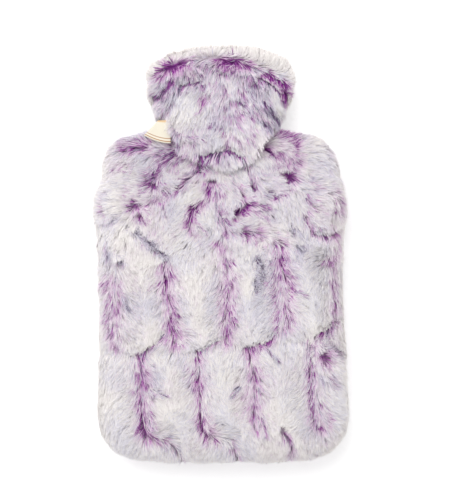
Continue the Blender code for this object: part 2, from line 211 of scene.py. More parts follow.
FRONT_PANEL = Panel(70, 96, 305000, 11)
BACK_PANEL = Panel(36, 60, 60000, 12)
COLLAR_PANEL = Panel(112, 30, 99000, 13)

# Short names of the leans, for the tables.
BOTH, BELOW, UNDER, AROUND, ALONG, UPRIGHT = Lean

OUTLINE = rows_of(
    Station,
    (FOOT_Y, -0.0360, 0.0440),
    (-0.1808, -0.0700, 0.0750),
    (-0.1738, -0.0915, 0.0950),
    (-0.1615, -0.1030, 0.1065),
    (-0.1404, -0.1086, 0.1117),
    (-0.0840, -0.1073, 0.1101),
    (-0.0400, -0.1074, 0.1078),
    (0.0128, -0.1091, 0.1078),
    (0.0427, -0.1117, 0.1104),
    (0.0656, -0.1052, 0.1058),
    (0.0849, -0.1030, 0.1021),
    (0.0972, -0.0968, 0.0950),
    (0.1040, -0.0860, 0.0870),
    (0.1075, -0.0700, 0.0720),
    (0.1098, -0.0540, 0.0560),
    (0.1115, -0.0445, 0.0445),
    (0.1150, -NECK_HALF_WIDTH, NECK_HALF_WIDTH),
    (0.1220, -NECK_HALF_WIDTH, NECK_HALF_WIDTH),
    (NECK_TOP_Y, -NECK_HALF_WIDTH, NECK_HALF_WIDTH),
)
SECTIONS = rows_of(
    Section,
    (FOOT_Y, 0.0310, 0.0325, EDGE, 1.0),
    (-0.1400, 0.0310, 0.0325, EDGE, 0.0),
    (-0.0200, 0.0305, 0.0325, EDGE, 0.0),
    (0.0300, 0.0280, 0.0325, 0.0300, 0.0),
    (0.0480, 0.0255, 0.0300, 0.0290, 0.0),
    (0.0740, 0.0205, 0.0178, 0.0250, -0.3),
    (NECK_Y, NECK_FRONT, NECK_BACK, 0.0180, -1.0),
    (0.1200, NECK_FRONT, NECK_BACK, 0.0180, -0.4),
    (NECK_TOP_Y, NECK_FRONT, NECK_BACK, 0.0180, 0.0),
)
LEDGES = rows_of(
    Ledge,
    (-0.102, -0.048, -0.074, 0.008, 0.0014),
    (-0.050, 0.002, -0.072, 0.009, 0.0014),
    (0.004, 0.052, -0.067, 0.010, 0.0014),
    (0.053, 0.100, -0.062, 0.009, 0.0014),
    (-0.066, -0.019, -0.154, 0.006, 0.0012),
    (-0.018, 0.030, -0.150, 0.006, 0.0012),
    (0.030, 0.086, -0.151, 0.006, 0.0012),
)
# Where the upper row of tiles ends, left to right: its scalloped lower edge.
ROW_EDGE = np.array([
    (-0.110, -0.082), (-0.090, -0.083), (-0.076, -0.081), (-0.060, -0.077), (-0.050, -0.071),
    (-0.049, -0.081), (-0.029, -0.080), (-0.014, -0.075), (0.001, -0.071), (0.008, -0.073),
    (0.023, -0.074), (0.047, -0.066), (0.051, -0.072), (0.069, -0.071), (0.084, -0.066),
    (0.097, -0.056), (0.110, -0.056),
])

FRONT_PARTINGS = rows_of(
    Parting,
    # upper row of tiles, left to right
    (((-93.3, -14.5), (-95, -31.2), (-93.7, -40), (-94.2, -50.6), (-92.8, -63.8),
     (-88.9, -77)), 0.64, 4.6, BOTH, 0.16),
    (((-89.3, -18.9), (-89.3, -38.3), (-89.8, -59.4)), 0.46, 3.4, BOTH, 0.1),
    (((-97.2, -22), (-100.8, -26)), 0.85, 1.2, ALONG),
    (((-103.6, 16.3), (-104.5, 7.5)), 0.9, 1, ALONG, 0.5),
    (((-95.9, 14.5), (-95.5, -1.3)), 0.55, 1.8, ALONG, 0.7),
    (((-85.4, -0.4), (-87.1, -4.8)), 0.4, 2.2, UPRIGHT, 0.9),
    (((-85.8, -33), (-82.3, -42.7)), 0.75, 1, ALONG, 0.9),
    (((-48.4, -1.3), (-48.8, -10.1), (-47.1, -18.9), (-46.6, -31.2), (-45.3, -40), (-44.4, -55.9),
     (-41.8, -64.7), (-39.6, -72.6)), 0.64, 5.8, BELOW, 0.06),
    (((-45.3, -39.2), (-40, -48.8)), 1, 1.1, ALONG, 0.2),
    (((0, 14.5), (1.3, 4), (4, -8.4), (4.4, -18.9), (5.3, -29.5), (4.4, -40), (4.8, -53.2),
     (4.4, -72.6)), 0.58, 6.6, BOTH, 0.06),
    (((6.6, -44.4), (10.6, -56.8)), 0.95, 1.3, ALONG, 0.1),
    (((4, -15.4), (5.7, -27.7)), 0.95, 0.9, ALONG, 0.1),
    (((3.5, -33.9), (4.4, -39.2)), 0.95, 1.1, ALONG),
    (((41.8, 15.4), (45.3, 10.1), (47.1, -3.1), (48.8, -13.6), (49.3, -29.5), (50.6, -44.4),
     (50.2, -62.9)), 0.52, 4.4, BOTH, 0.2),
    (((43.1, 15.4), (50.2, 9.7), (51.9, 2.2), (51.9, -8.4), (55.4, -18.9), (55.9, -29.5), (54.6, -38.3),
     (58.1, -50.6), (55.9, -59.4)), 0.56, 4.8, BELOW, 0.08),
    (((61.2, -29.9), (69.5, -34.8)), 0.85, 0.9, ALONG, 0.5),
    (((96.8, 20.7), (98.6, 15.4), (97.2, 6.6), (94.2, -3.1)), 0.8, 3.4),
    (((94.6, -3.1), (88, -5.7)), 0.8, 1.6, ALONG, 0.1),
    (((95.5, -6.6), (96.2, -18.9), (96.1, -33), (97.2, -45.3), (96.4, -56.8)), 0.8, 3.4, BOTH, 0.1),
    # roots that show under the upper row
    (((-44.9, -62.9), (-48.4, -69.1), (-53.7, -75.7), (-62.5, -78.3), (-73, -83.6)), 0.72, 2.6, UNDER, 0.3),
    (((1.8, -70.8), (-7, -74.4), (-15.8, -78.3), (-22, -80.5)), 0.45, 2.2, UNDER, 0.3),
    (((50.6, -61.2), (46.6, -69.1), (36.1, -73.9), (27.3, -75.7), (21.1, -77.9)), 0.66, 2.8, UNDER, 0.1),
    (((98.6, -55), (91.5, -62.5), (84.5, -67.3)), 0.75, 2.6, UNDER, 0.2),
    (((32.6, -75.2), (41.4, -81.4), (47.1, -87.6)), 0.6, 1.2, ALONG, 0.6),
    # lower row, half a tile across
    (((-71.7, -81.4), (-70.8, -92.8), (-69.5, -106.9), (-68.6, -121), (-67.8, -135.1), (-66.4, -149.2),
     (-64.2, -155.3)), 0.66, 5.4, BELOW, 0.12),
    (((-64.2, -155.3), (-57.2, -158), (-51, -158.8)), 0.4, 2.4, BOTH, 0.1),
    (((-62.9, -114), (-59, -117.9), (-51, -119.1)), 0.85, 1, ALONG, 0.7),
    (((-62.9, -131.6), (-60.3, -145.6)), 0.7, 1.1, ALONG, 0.3),
    (((-48.4, -159.7), (-43.1, -163.2), (-36.5, -169.4), (-33.4, -181.7)), 0.34, 2.4, BOTH, 0.3),
    (((-21.7, -80.5), (-20.2, -92.8), (-18.5, -106.9), (-18.5, -121), (-17.2, -136.8), (-15, -149.2),
     (-10.6, -155.3)), 0.52, 4.8, BELOW, 0.08),
    (((-10.6, -155.3), (-2.6, -158.8), (2.6, -160.6)), 0.36, 2.2, BOTH, 0.08),
    (((6.2, -157.1), (9.7, -163.2), (14.1, -172), (15.8, -182.6)), 0.34, 2.2, BOTH, 0.3),
    (((22, -76.1), (24.6, -84.9), (28.6, -98.1), (29.3, -114), (28.6, -129.8),
     (29, -146.5)), 0.45, 5.2, BELOW, 0.1),
    (((30.8, -108.7), (33.4, -115.7), (37.8, -120.1)), 0.7, 1, ALONG, 0.3),
    (((34.3, -137.7), (39.2, -151.8)), 0.65, 1.3, ALONG, 0.3),
    (((19.8, -111.3), (12.8, -118.4)), 0.85, 1, ALONG, 0.7),
    (((76.6, -70), (77.4, -85.8), (78.8, -101.6), (79.6, -117.5), (80.1, -133.3),
     (84.5, -145.6)), 0.7, 4.2, BELOW, 0.2),
    (((84.9, -99.9), (87.1, -109.6)), 0.6, 1.1, ALONG, 0.6),
    (((84.5, -122.8), (87.1, -135.1), (88.4, -146.5)), 0.6, 2, BOTH, 0.2),
    (((88, -74.4), (93.3, -79.6), (97.7, -84)), 0.8, 4.6, UPRIGHT, 0.5),
    (((87.1, -84), (89.3, -91.1)), 0.74, 3, AROUND),
    (((89.8, -99.9), (94.2, -112.2)), 0.45, 2.4, BOTH, 0.4),
    # the last row, down over the lower edge
    (((52.8, -154.4), (59, -157.1), (62.5, -163.2), (62.9, -179.1)), 0.44, 2.2, BOTH, 0.2),
    (((106, -83.2), (104.7, -86.7)), 0.5, 1.4, ALONG, 0.9),
    # folds that fan out from under the collar
    (((-55.4, 91.1), (-62.5, 92.4), (-70.4, 93.7), (-80.1, 93.3)), 0.98, 3.4, BOTH, 0.1),
    (((-36.1, 91.1), (-43.1, 86.7), (-50.2, 80.5), (-55.4, 73.5), (-59.4, 65.6)), 1.1, 5.4, BOTH, 0.3),
    (((-40.5, 88.4), (-46.6, 83.6), (-52.4, 77), (-56.8, 70)), 0.62, 2.6, ALONG, 0.3),
    (((-60.3, 64.2), (-59.4, 62.9)), 1.08, 3.2, AROUND, 0.05),
    (((-61.6, 62), (-65.6, 55.9)), 0.5, 2.4, BOTH, 0.1),
    (((-59.8, 44), (-66, 44.9), (-72.2, 44), (-77.4, 40.9)), 0.74, 3.4),
    (((-71.7, 37.4), (-70.8, 35.2)), 0.95, 3.8, AROUND),
    (((-74.8, 56.8), (-78.3, 48)), 0.45, 4.2),
    (((-89.8, 54.1), (-96.8, 48.8)), 0.5, 2.6, BOTH, 0.6),
    (((-99, 40.5), (-98.6, 39.2)), 0.92, 2.4, AROUND, 0.4),
    (((-83.6, 33.9), (-99.4, 31.2)), 0.3, 4.6, BOTH, 0.6),
    (((-20.2, 84.9), (-18.9, 74.4), (-25.5, 66.4), (-34.3, 60.3), (-44.9, 55.9),
     (-53.7, 50.6)), 0.68, 3.4, BOTH, 0.15),
    (((-44, 56.3), (-51, 53.2)), 0.6, 0.9, ALONG, 0.6),
    # A grey mark just below the collar's hem: painted shade under the hem.
    (((-16.7, 83.2), (-14.1, 79.6)), 0.6, 1.3, ALONG, 0.7),
    (((-7.5, 68.6), (-7.2, 66.9)), 0.92, 1.4, AROUND, 0.4),
    (((-8.8, 62.9), (-10.6, 53.2), (-15.8, 47.1), (-22, 42.7), (-25.1, 37.4), (-27.7, 27.7)), 0.86, 3.4),
    (((-24.2, 35.6), (-21.1, 29.5), (-16.7, 23.3)), 0.6, 1.3, ALONG),
    (((-26.8, 26.8), (-22.9, 20.7), (-12.3, 18)), 0.6, 2.4, BOTH, 0.1),
    (((-4.4, 60.3), (-3.1, 44.4), (-0.9, 31.2), (3.1, 21.6)), 0.72, 4.6, BOTH, 0.25),
    (((-0.4, 36.1), (4, 29)), 0.95, 1, ALONG, 0.4),
    (((6.2, 72.6), (6.6, 60.3)), 0.35, 3.6, BOTH, 0.4),
    (((11.4, 63.8), (14.1, 56.8), (17.2, 52.4)), 0.66, 3.6),
    (((21.6, 83.2), (23.8, 77), (26.8, 71.7), (28.2, 60.3)), 0.64, 4, BOTH, 0.3),
    (((32.6, 76.1), (36.1, 65.6)), 0.32, 5.2, BOTH, 0.7),
    (((13.2, 35.2), (15, 39.6), (20.2, 44.4)), 1.1, 3.8, AROUND),
    (((23.8, 44.9), (41.4, 40)), 0.66, 1.8, ALONG, 0.1),
    (((22, 40.9), (36.1, 34.8)), 0.55, 1.8, ALONG, 0.1),
    (((31.7, 51), (38.3, 54.1)), 0.8, 0.9, ALONG, 0.8),
    (((39.6, 51.5), (46.6, 53.2), (54.6, 55.9), (59, 61.2)), 0.58, 3.4, BOTH, 0.2),
    (((57.6, 70.4), (59.4, 68.6)), 0.98, 4.2, AROUND, 0.1),
    (((37.4, 91.1), (44, 90.6), (51, 88.9), (57.2, 85.4), (64.2, 81)), 1.05, 3, BOTH, 0.05),
    (((44, 101.6), (50.2, 101.2), (56.3, 98.6), (60.7, 92.8)), 1.1, 3.4),
    (((84.5, 99), (88, 92.8), (94.2, 84.9)), 0.34, 3.8, BOTH, 0.4),
    (((96.4, 69.1), (101.6, 62)), 0.55, 1.2, ALONG, 0.6),
    (((100.3, 51.5), (101.2, 42.7), (100.8, 33.9)), 0.58, 3.4),
    (((69.5, 69.1), (77.4, 56.8)), 0.3, 2.6, BOTH, 0.2),
    (((71.3, 55), (73.5, 48)), 0.7, 1.1, ALONG, 0.2),
    (((70.4, 40), (73, 32.1), (77, 28.2), (79.6, 22.4)), 0.72, 1.6, BOTH, 0.2),
    (((80.1, 21.1), (88.9, 19.4), (96.8, 20.2)), 0.6, 2.4, UNDER, 0.2),
    (((12.3, 22), (16.7, 20.2), (22, 18)), 1, 2.2, BOTH, 0.2),
    (((26.4, 21.6), (33, 14.5)), 0.56, 3.2, BOTH, 0.1),
    (((-73.9, 22.9), (-68.6, 18.5)), 0.7, 3.6, UPRIGHT, 0.9),
    (((-66, 17.2), (-62.5, 13.6)), 0.85, 3, UPRIGHT, 0.8),
    (((-59, 16.3), (-55.9, 14.5)), 0.8, 2.2, UPRIGHT, 0.8),
    (((-60.7, 11.9), (-55.4, 7.5), (-48.4, 4), (-47.5, -1.3)), 0.72, 3.4, UPRIGHT, 0.85),
    (((53.7, 25.1), (59.8, 22.9)), 0.66, 2.8, UPRIGHT, 0.8),
    (((62.5, 25.1), (66.9, 20.7)), 0.8, 1.5, ALONG, 0.95),
    (((61.6, 11.9), (69.5, 6.6)), 0.34, 4.4, BOTH, 0.9),
    (((72.6, 7), (75.7, 4)), 0.72, 2.2, UPRIGHT, 0.95),
    (((32.6, -0.4), (37, -10.1)), 0.52, 4.8, UPRIGHT, 0.8),
    (((31.2, -13.6), (32.1, -30.4)), 0.62, 2.8, UPRIGHT, 0.9),
    (((39.6, -15.4), (37, -28.6)), 0.44, 3.4, UPRIGHT, 0.9),
)

# The height of the parting across the collar, under its crest: from it the pile runs up and down.
CREST_PARTING = np.array([
    (-0.070, 0.138), (-0.057, 0.151), (-0.050, 0.1620), (-0.034, 0.1675), (-0.018, 0.1700),
    (0.002, 0.1710), (0.019, 0.1690), (0.036, 0.1620), (0.047, 0.1575), (0.055, 0.1535),
    (0.060, 0.143), (0.070, 0.133),
])
COLLAR_PARTINGS = rows_of(
    Parting,
    (((-51.9, 160.2), (-48.4, 163.2), (-42.2, 165.9), (-33.4, 168.1)), 1.3, 4.4),
    (((-46.6, 161.5), (-39.6, 164.1)), 1.1, 3, AROUND),
    (((-41.4, 158), (-43.1, 151.8), (-46.6, 147), (-51, 142.1)), 1.1, 3.4, BOTH, 0.3),
    (((-36.1, 151.8), (-32.6, 149.2), (-27.3, 151.4), (-19.4, 151.8)), 0.88, 2.8, UNDER, 0.35),
    (((-32.1, 149.2), (-31.7, 143.9)), 0.8, 1.6, ALONG, 0.5),
    (((-12.8, 143), (-15.4, 133.3)), 1.1, 3.2),
    (((-14.5, 131.1), (-18, 126.3)), 0.95, 1.5, ALONG, 0.3),
    (((-42.2, 132.4), (-48.4, 125.8)), 0.55, 2.8, BOTH, 0.3),
    # A dark grey spot in the valley between the ear and the flap: painted shadow.
    (((-39.6, 138.6), (-36.1, 136)), 0.6, 1.8, ALONG, 0.9),
    (((1.8, 169.8), (7, 168.1), (13.2, 169.8), (19.4, 168.1)), 1.3, 4.2),
    (((16.7, 169.4), (24.6, 165), (35.2, 165.9)), 0.6, 2.2, BOTH, 0.1),
    (((0, 161.9), (6.2, 161.5), (11.4, 163.2)), 0.75, 2.6, BOTH, 0.3),
    (((15, 161.5), (22, 158.8), (27.3, 158)), 0.52, 2.6, BOTH, 0.5),
    (((36.1, 160.2), (41.4, 158.4), (46.6, 154.4), (52.8, 152.2), (54.6, 146.5), (55, 139.5)), 1.3, 4),
    # A dark grey line beside the right stain: painted shadow line, partly dyed roots.
    (((29.5, 154.9), (36.1, 153.1), (42.2, 150.5), (51.5, 143.4)), 0.85, 1.2, UNDER, 0.5),
    (((36.5, 137.7), (39.2, 132.4), (43.1, 127.2), (48, 121)), 1.3, 3.8, BOTH, 0.85),
    (((36.5, 137.7), (38.7, 132.4), (41.4, 128)), 1, 1.6, ALONG, 0.75),
    (((40.5, 133.3), (44.9, 126.3), (48.4, 120.1)), 0.9, 1.2, ALONG, 0.8),
    (((32.6, 122.8), (37.8, 115.7)), 0.8, 1.4, ALONG, 0.7),
    (((38.7, 120.1), (40.5, 112.2)), 0.85, 1.2, ALONG, 0.7),
    (((31.7, 122.8), (36.1, 119.2), (39.6, 112.2)), 1, 3.4, BOTH, 0.75),
    (((-13.2, 89.8), (-7, 91.5), (0, 92), (5.3, 94.6), (9.7, 92.8), (15.4, 88.9)), 1, 4, UNDER, 0.35),
    (((4.4, 113.1), (7, 105.2), (5.7, 95.5)), 0.74, 3.2, BOTH, 0.1),
    (((11, 110.4), (17.2, 98.1)), 0.64, 2.6, BOTH, 0.1),
    (((16.7, 155.3), (18.5, 139.5)), 0.44, 3.4, BOTH, 0.2),
    (((3.5, 151.8), (5.3, 125.4)), 0.42, 3.8, BOTH, 0.3),
    (((11.4, 137.7), (13.2, 114.8)), 0.42, 3.6, BOTH, 0.2),
    (((-19.4, 166.8), (-11.4, 165.9), (-2.6, 164.1)), 0.34, 3, BOTH, 0.4),
    (((-24.6, 163.2), (-19.4, 160.6)), 0.4, 1.8, ALONG, 0.7),
    (((-32.6, 104.7), (-20.2, 103)), 0.5, 1.4, ALONG, 0.2),
    (((-23.8, 100.8), (-21.1, 95.5)), 0.4, 2.4, BOTH, 0.2),
    # The pleat's dark line, and the dark marks at both ends of the hem: painted shadow in the pleat and under
    # the hem.
    (((-36.4, 109.6), (-36.1, 92)), 0.75, 1.1, ALONG, 0.8),
    (((-31.2, 87.6), (-29.9, 83.2)), 0.75, 1.1, ALONG, 0.9),
    (((33, 92), (33.4, 84.9)), 0.6, 1.6, ALONG, 0.95),
)


def smooth_line(points: np.ndarray, steps: int) -> np.ndarray:
    """A Catmull-Rom curve: between two points, the cubic whose slope at each is half the way between its
    neighbours.

    Args:
        points: The points, one a row.
        steps: Steps from one point to the next.

    Returns:
        The curve's points.
    """
    ends = np.vstack([2 * points[0] - points[1], points, 2 * points[-1] - points[-2]])
    t = np.linspace(0.0, 1.0, steps, endpoint=False)[:, None]
    pieces = [
        0.5 * (2 * b + (c - a) * t + (2 * a - 5 * b + 4 * c - d) * t**2 + (3 * b - a - 3 * c + d) * t**3)
        for a, b, c, d in zip(ends, ends[1:], ends[2:], ends[3:])
    ]
    return np.vstack([*pieces, points[-1:]])


def column(table: tuple, name: str) -> np.ndarray:
    """One column of a table."""
    return np.array([getattr(row, name) for row in table])


def along(table: tuple, y: np.ndarray, name: str) -> np.ndarray:
    """A table's column at each y, on a smooth curve through its rows."""
    curve = smooth_line(np.stack([column(table, "y"), column(table, name)], axis=1), 6)
    return np.interp(y, curve[:, 0], curve[:, 1])


def unit(vectors: np.ndarray) -> np.ndarray:
    """The vectors at length one."""
    return vectors / np.maximum(np.linalg.norm(vectors, axis=-1, keepdims=True), 1e-9)


def ramp(values: np.ndarray, start: float, width: float) -> np.ndarray:
    """A straight ramp: nought up to the start, and one from a width past it on."""
    return np.clip((values - start) / width, 0.0, 1.0)


def clamp(values: np.ndarray) -> np.ndarray:
    """The values, held between nought and one."""
    return np.clip(values, 0.0, 1.0)


def bell(distance: np.ndarray, reach: float | np.ndarray) -> np.ndarray:
    """A bell curve: e to the minus square of the distance over the reach."""
    return np.exp(-((distance / reach) ** 2))


def step(distance: np.ndarray, width: float) -> np.ndarray:
    """A soft step from nought to one: one over one and e to the minus distance over the width."""
    return 1.0 / (1.0 + np.exp(-np.clip(distance / width, -40.0, 40.0)))


def soft_noise(x: np.ndarray, y: np.ndarray, size: float, seed: int) -> np.ndarray:
    """Smooth noise: random values on a square net, eased between its knots.

    Args:
        x: Places across the cover.
        y: Places along it.
        size: The net's pitch.
        seed: Seed of the knots.

    Returns:
        The noise at each place, from -1 to 1.
    """
    side = 64
    knots = np.random.default_rng(seed).uniform(-1.0, 1.0, (side, side))
    u, v = x / size + 1000.0, y / size + 1000.0
    i, j = np.floor(u).astype(int), np.floor(v).astype(int)
    fu, fv = u - i, v - j
    fu, fv = fu * fu * (3 - 2 * fu), fv * fv * (3 - 2 * fv)
    i, j = i % (side - 1), j % (side - 1)
    low = knots[i, j] * (1 - fu) + knots[i + 1, j] * fu
    high = knots[i, j + 1] * (1 - fu) + knots[i + 1, j + 1] * fu
    return low * (1 - fv) + high * fv


@dataclass
class Rows:
    """Arrays that hold one row for each place."""

    def kept(self, keep: np.ndarray) -> "Rows":
        """Only the rows that a mask keeps."""
        return type(self)(*(getattr(self, name)[keep] for name in self.__dataclass_fields__))


@dataclass
class Combing(Rows):
    """What the pile does at each place.

    run is where it runs in X and Y, dye how far its dye reaches, the grey share how grey that is, partly
    slate grey and partly painted shade, rise how high it stands as a share of its full height, room how far
    it may reach, tone its own dye, partly painted shade towards the neck, and wild how far it stands up and
    every way.
    """

    run: np.ndarray
    dye: np.ndarray
    slate_and_shade: np.ndarray
    rise: np.ndarray
    room: np.ndarray
    tone: np.ndarray
    wild: np.ndarray


@dataclass
class Roots(Rows):
    """Where strands of pile are rooted: place, normal, the surface's two directions, and how far along
    each of them the root lies."""

    place: np.ndarray
    normal: np.ndarray
    across: np.ndarray
    down: np.ndarray
    p: np.ndarray
    q: np.ndarray

    @property
    def x(self) -> np.ndarray:
        """The roots' places across the cover."""
        return self.place[:, 0]

    @property
    def y(self) -> np.ndarray:
        """The roots' places along the cover."""
        return self.place[:, 1]


@dataclass
class Surface:
    """A grid of places with its outward side."""

    points: np.ndarray
    side: float = 1.0

    def places(self) -> tuple[np.ndarray, np.ndarray]:
        """Its points' places across the cover and along it, row after row."""
        return self.points[:, :, 0].ravel(), self.points[:, :, 1].ravel()

    def normals(self) -> np.ndarray:
        """Unit normals: the cross product of the grid's two directions, turned outwards."""
        across, down = (np.gradient(self.points, axis=axis) for axis in (1, 0))
        return unit(np.cross(across, down)) * self.side

    def sow(self, panel: Panel) -> Roots:
        """Roots spread evenly by area: each cell gets its share of the count, at random places in it.

        Args:
            panel: Says how many roots, and their seed.

        Returns:
            The roots, with the frame of the surface at each one.
        """
        rng, count = np.random.default_rng(panel.seed), panel.strands
        p = self.points
        a, b, c, d = p[:-1, :-1], p[:-1, 1:], p[1:, :-1], p[1:, 1:]
        area = np.linalg.norm(np.cross(d - a, b - c), axis=2).ravel() / 2
        share = np.cumsum(area) / area.sum()
        cell = np.searchsorted(share, (np.arange(count) + rng.random(count)) / count)
        cell = np.minimum(cell, len(area) - 1)
        i, j = np.divmod(cell, p.shape[1] - 1)
        s, t = rng.random((2, count, 1))

        def mixed(values: np.ndarray) -> np.ndarray:
            """A grid's values at the roots, mixed from the four corners of each one's cell."""
            upper = values[i, j] * (1 - s) + values[i, j + 1] * s
            lower = values[i + 1, j] * (1 - s) + values[i + 1, j + 1] * s
            return upper * (1 - t) + lower * t

        wide = np.linalg.norm(np.diff(p, axis=1, prepend=p[:, :1]), axis=2).cumsum(axis=1)
        deep = np.linalg.norm(np.diff(p, axis=0, prepend=p[:1]), axis=2).cumsum(axis=0)
        return Roots(
            place=mixed(p),
            normal=unit(mixed(self.normals())),
            across=unit(mixed(np.gradient(p, axis=1))),
            down=unit(mixed(np.gradient(p, axis=0))),
            p=mixed(wide[:, :, None])[:, 0],
            q=mixed(deep[:, :, None])[:, 0],
        )


def tufted(roots: Roots, size: float, seed: int) -> tuple[np.ndarray, np.ndarray, np.ndarray]:
    """The clump that each strand belongs to: the nearest of a net of jittered centres.

    Args:
        roots: The strands' roots.
        size: The net's pitch.
        seed: Seed of the centres' jitter.

    Returns:
        How far the clump's centre lies along each direction of the surface, and the clump's number.
    """
    jitter = np.random.default_rng(seed).random((2, NET))
    i0, j0 = np.floor(roots.p / size).astype(int), np.floor(roots.q / size).astype(int)
    best = np.full(len(i0), np.inf)
    dp, dq, number = np.zeros(len(i0)), np.zeros(len(i0)), np.zeros(len(i0), int)
    for step_i in (-1, 0, 1):
        for step_j in (-1, 0, 1):
            i, j = i0 + step_i, j0 + step_j
            key = (i * 73856093 ^ j * 19349663) % NET
            away_p = (i + jitter[0, key]) * size - roots.p
            away_q = (j + jitter[1, key]) * size - roots.q
            distance = np.hypot(away_p, away_q)
            nearer = distance < best
            best = np.where(nearer, distance, best)
            dp, dq = np.where(nearer, away_p, dp), np.where(nearer, away_q, dq)
            number = np.where(nearer, key, number)
    return dp, dq, number


@dataclass(frozen=True)
class Palette:
    """Where the dyed tones lie across a strand's map: first the bright dye, then the greys, slate dye whose
    darker end is also painted shade.
    """

    bright_end: float = 0.62
    grey_start: float = 0.68

    def place(self, dye: np.ndarray, grey: np.ndarray) -> np.ndarray:
        """The place across the map.

        Args:
            dye: How much dye, from 0 to 1.
            grey: Whether it is grey.

        Returns:
            The places.
        """
        bright = np.clip(dye, 0.01, 1.0) * self.bright_end
        dull = self.grey_start + np.clip(dye, 0.02, 0.98) * (1.0 - self.grey_start)
        return np.where(grey, dull, bright)


PALETTE = Palette()


def new_mesh(name: str, points: np.ndarray, faces: np.ndarray) -> bpy.types.Mesh:
    """A mesh from whole arrays.

    Args:
        name: Its name.
        points: Its points, one a row.
        faces: The numbers of each face's corners, all faces with as many.

    Returns:
        The mesh.
    """
    mesh = bpy.data.meshes.new(name)
    count, corners = faces.shape
    mesh.vertices.add(len(points))
    mesh.loops.add(count * corners)
    mesh.polygons.add(count)
    mesh.vertices.foreach_set("co", points.astype(np.float32).ravel())
    mesh.loops.foreach_set("vertex_index", faces.astype(np.int32).ravel())
    mesh.polygons.foreach_set("loop_start", np.arange(count, dtype=np.int32) * corners)
    mesh.update(calc_edges=True)
    mesh.shade_smooth()
    return mesh


def add_map(mesh: bpy.types.Mesh, name: str, corners: np.ndarray) -> None:
    """Give a mesh a map of its own, with a place for each corner of its faces."""
    mesh.uv_layers.new(name=name).uv.foreach_set("vector", corners.astype(np.float32).ravel())


def place_object(name: str, data: bpy.types.ID) -> bpy.types.Object:
    """Put a mesh, a camera or a light into the scene.

    Args:
        name: The object's name.
        data: The mesh, camera or light.

    Returns:
        The object.
    """
    placed = bpy.data.objects.new(name, data)
    bpy.context.scene.collection.objects.link(placed)
    return placed


def add_piece(mesh: bpy.types.Mesh, material: bpy.types.Material) -> bpy.types.Object:
    """Put a mesh into the scene as a piece of the cover.

    Args:
        mesh: The piece's mesh, whose name it takes.
        material: Its finish.

    Returns:
        The piece.
    """
    mesh.materials.append(material)
    piece = place_object(mesh.name, mesh)
    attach(piece, "root")
    log.info("%s: %d faces", piece.name, len(mesh.polygons))
    return piece


def thicken(piece: bpy.types.Object, name: str, thickness: float, offset: float) -> None:
    """Give a sheet its thickness.

    Args:
        piece: The sheet.
        name: The modifier's name.
        thickness: How thick.
        offset: Where the sheet lies in it: 0 is its middle, -1 its outer side.
    """
    wall = piece.modifiers.new(name, "SOLIDIFY")
    wall.thickness = thickness
    wall.offset = offset


def grid_faces(rows: int, columns: int, outward: bool = True) -> np.ndarray:
    """The quads of a grid of points, numbered row by row.

    Args:
        rows: The grid's rows of points.
        columns: Its columns.
        outward: Whether the faces look to the side that the cross product of its directions does.

    Returns:
        Four corners for each face.
    """
    i, j = np.meshgrid(np.arange(rows - 1), np.arange(columns - 1), indexing="ij")
    a = (i * columns + j).ravel()
    quads = np.stack([a, a + 1, a + columns + 1, a + columns], axis=1)
    return quads if outward else quads[:, ::-1]


def add_backing(name: str, surface: Surface, dye: np.ndarray,
                material: bpy.types.Material) -> bpy.types.Object:
    """A panel's backing, a thin wall under its pile.

    Args:
        name: The piece's name.
        surface: Its outer side.
        dye: How much of the dye its pile's roots show at each of the surface's points.
        material: The backing's finish.

    Returns:
        The piece.
    """
    rows, columns = surface.points.shape[:2]
    mesh = new_mesh(name, surface.points.reshape(-1, 3), grid_faces(rows, columns, surface.side > 0.0))
    paint = mesh.attributes.new("dye", "FLOAT", "POINT")
    paint.data.foreach_set("value", dye.astype(np.float32))
    piece = add_piece(mesh, material)
    thicken(piece, "backing", BACKING, -1.0)
    return piece


@dataclass
class Clumps:
    """What the strands of a tuft share, and those of a lock, which is larger: how far they are turned,
    dyed and raised. pull is how far each tip is drawn towards the middle of its own."""

    tuft_turn: np.ndarray
    tuft_dye: np.ndarray
    tuft_rise: np.ndarray
    lock_turn: np.ndarray
    lock_dye: np.ndarray
    pull: np.ndarray


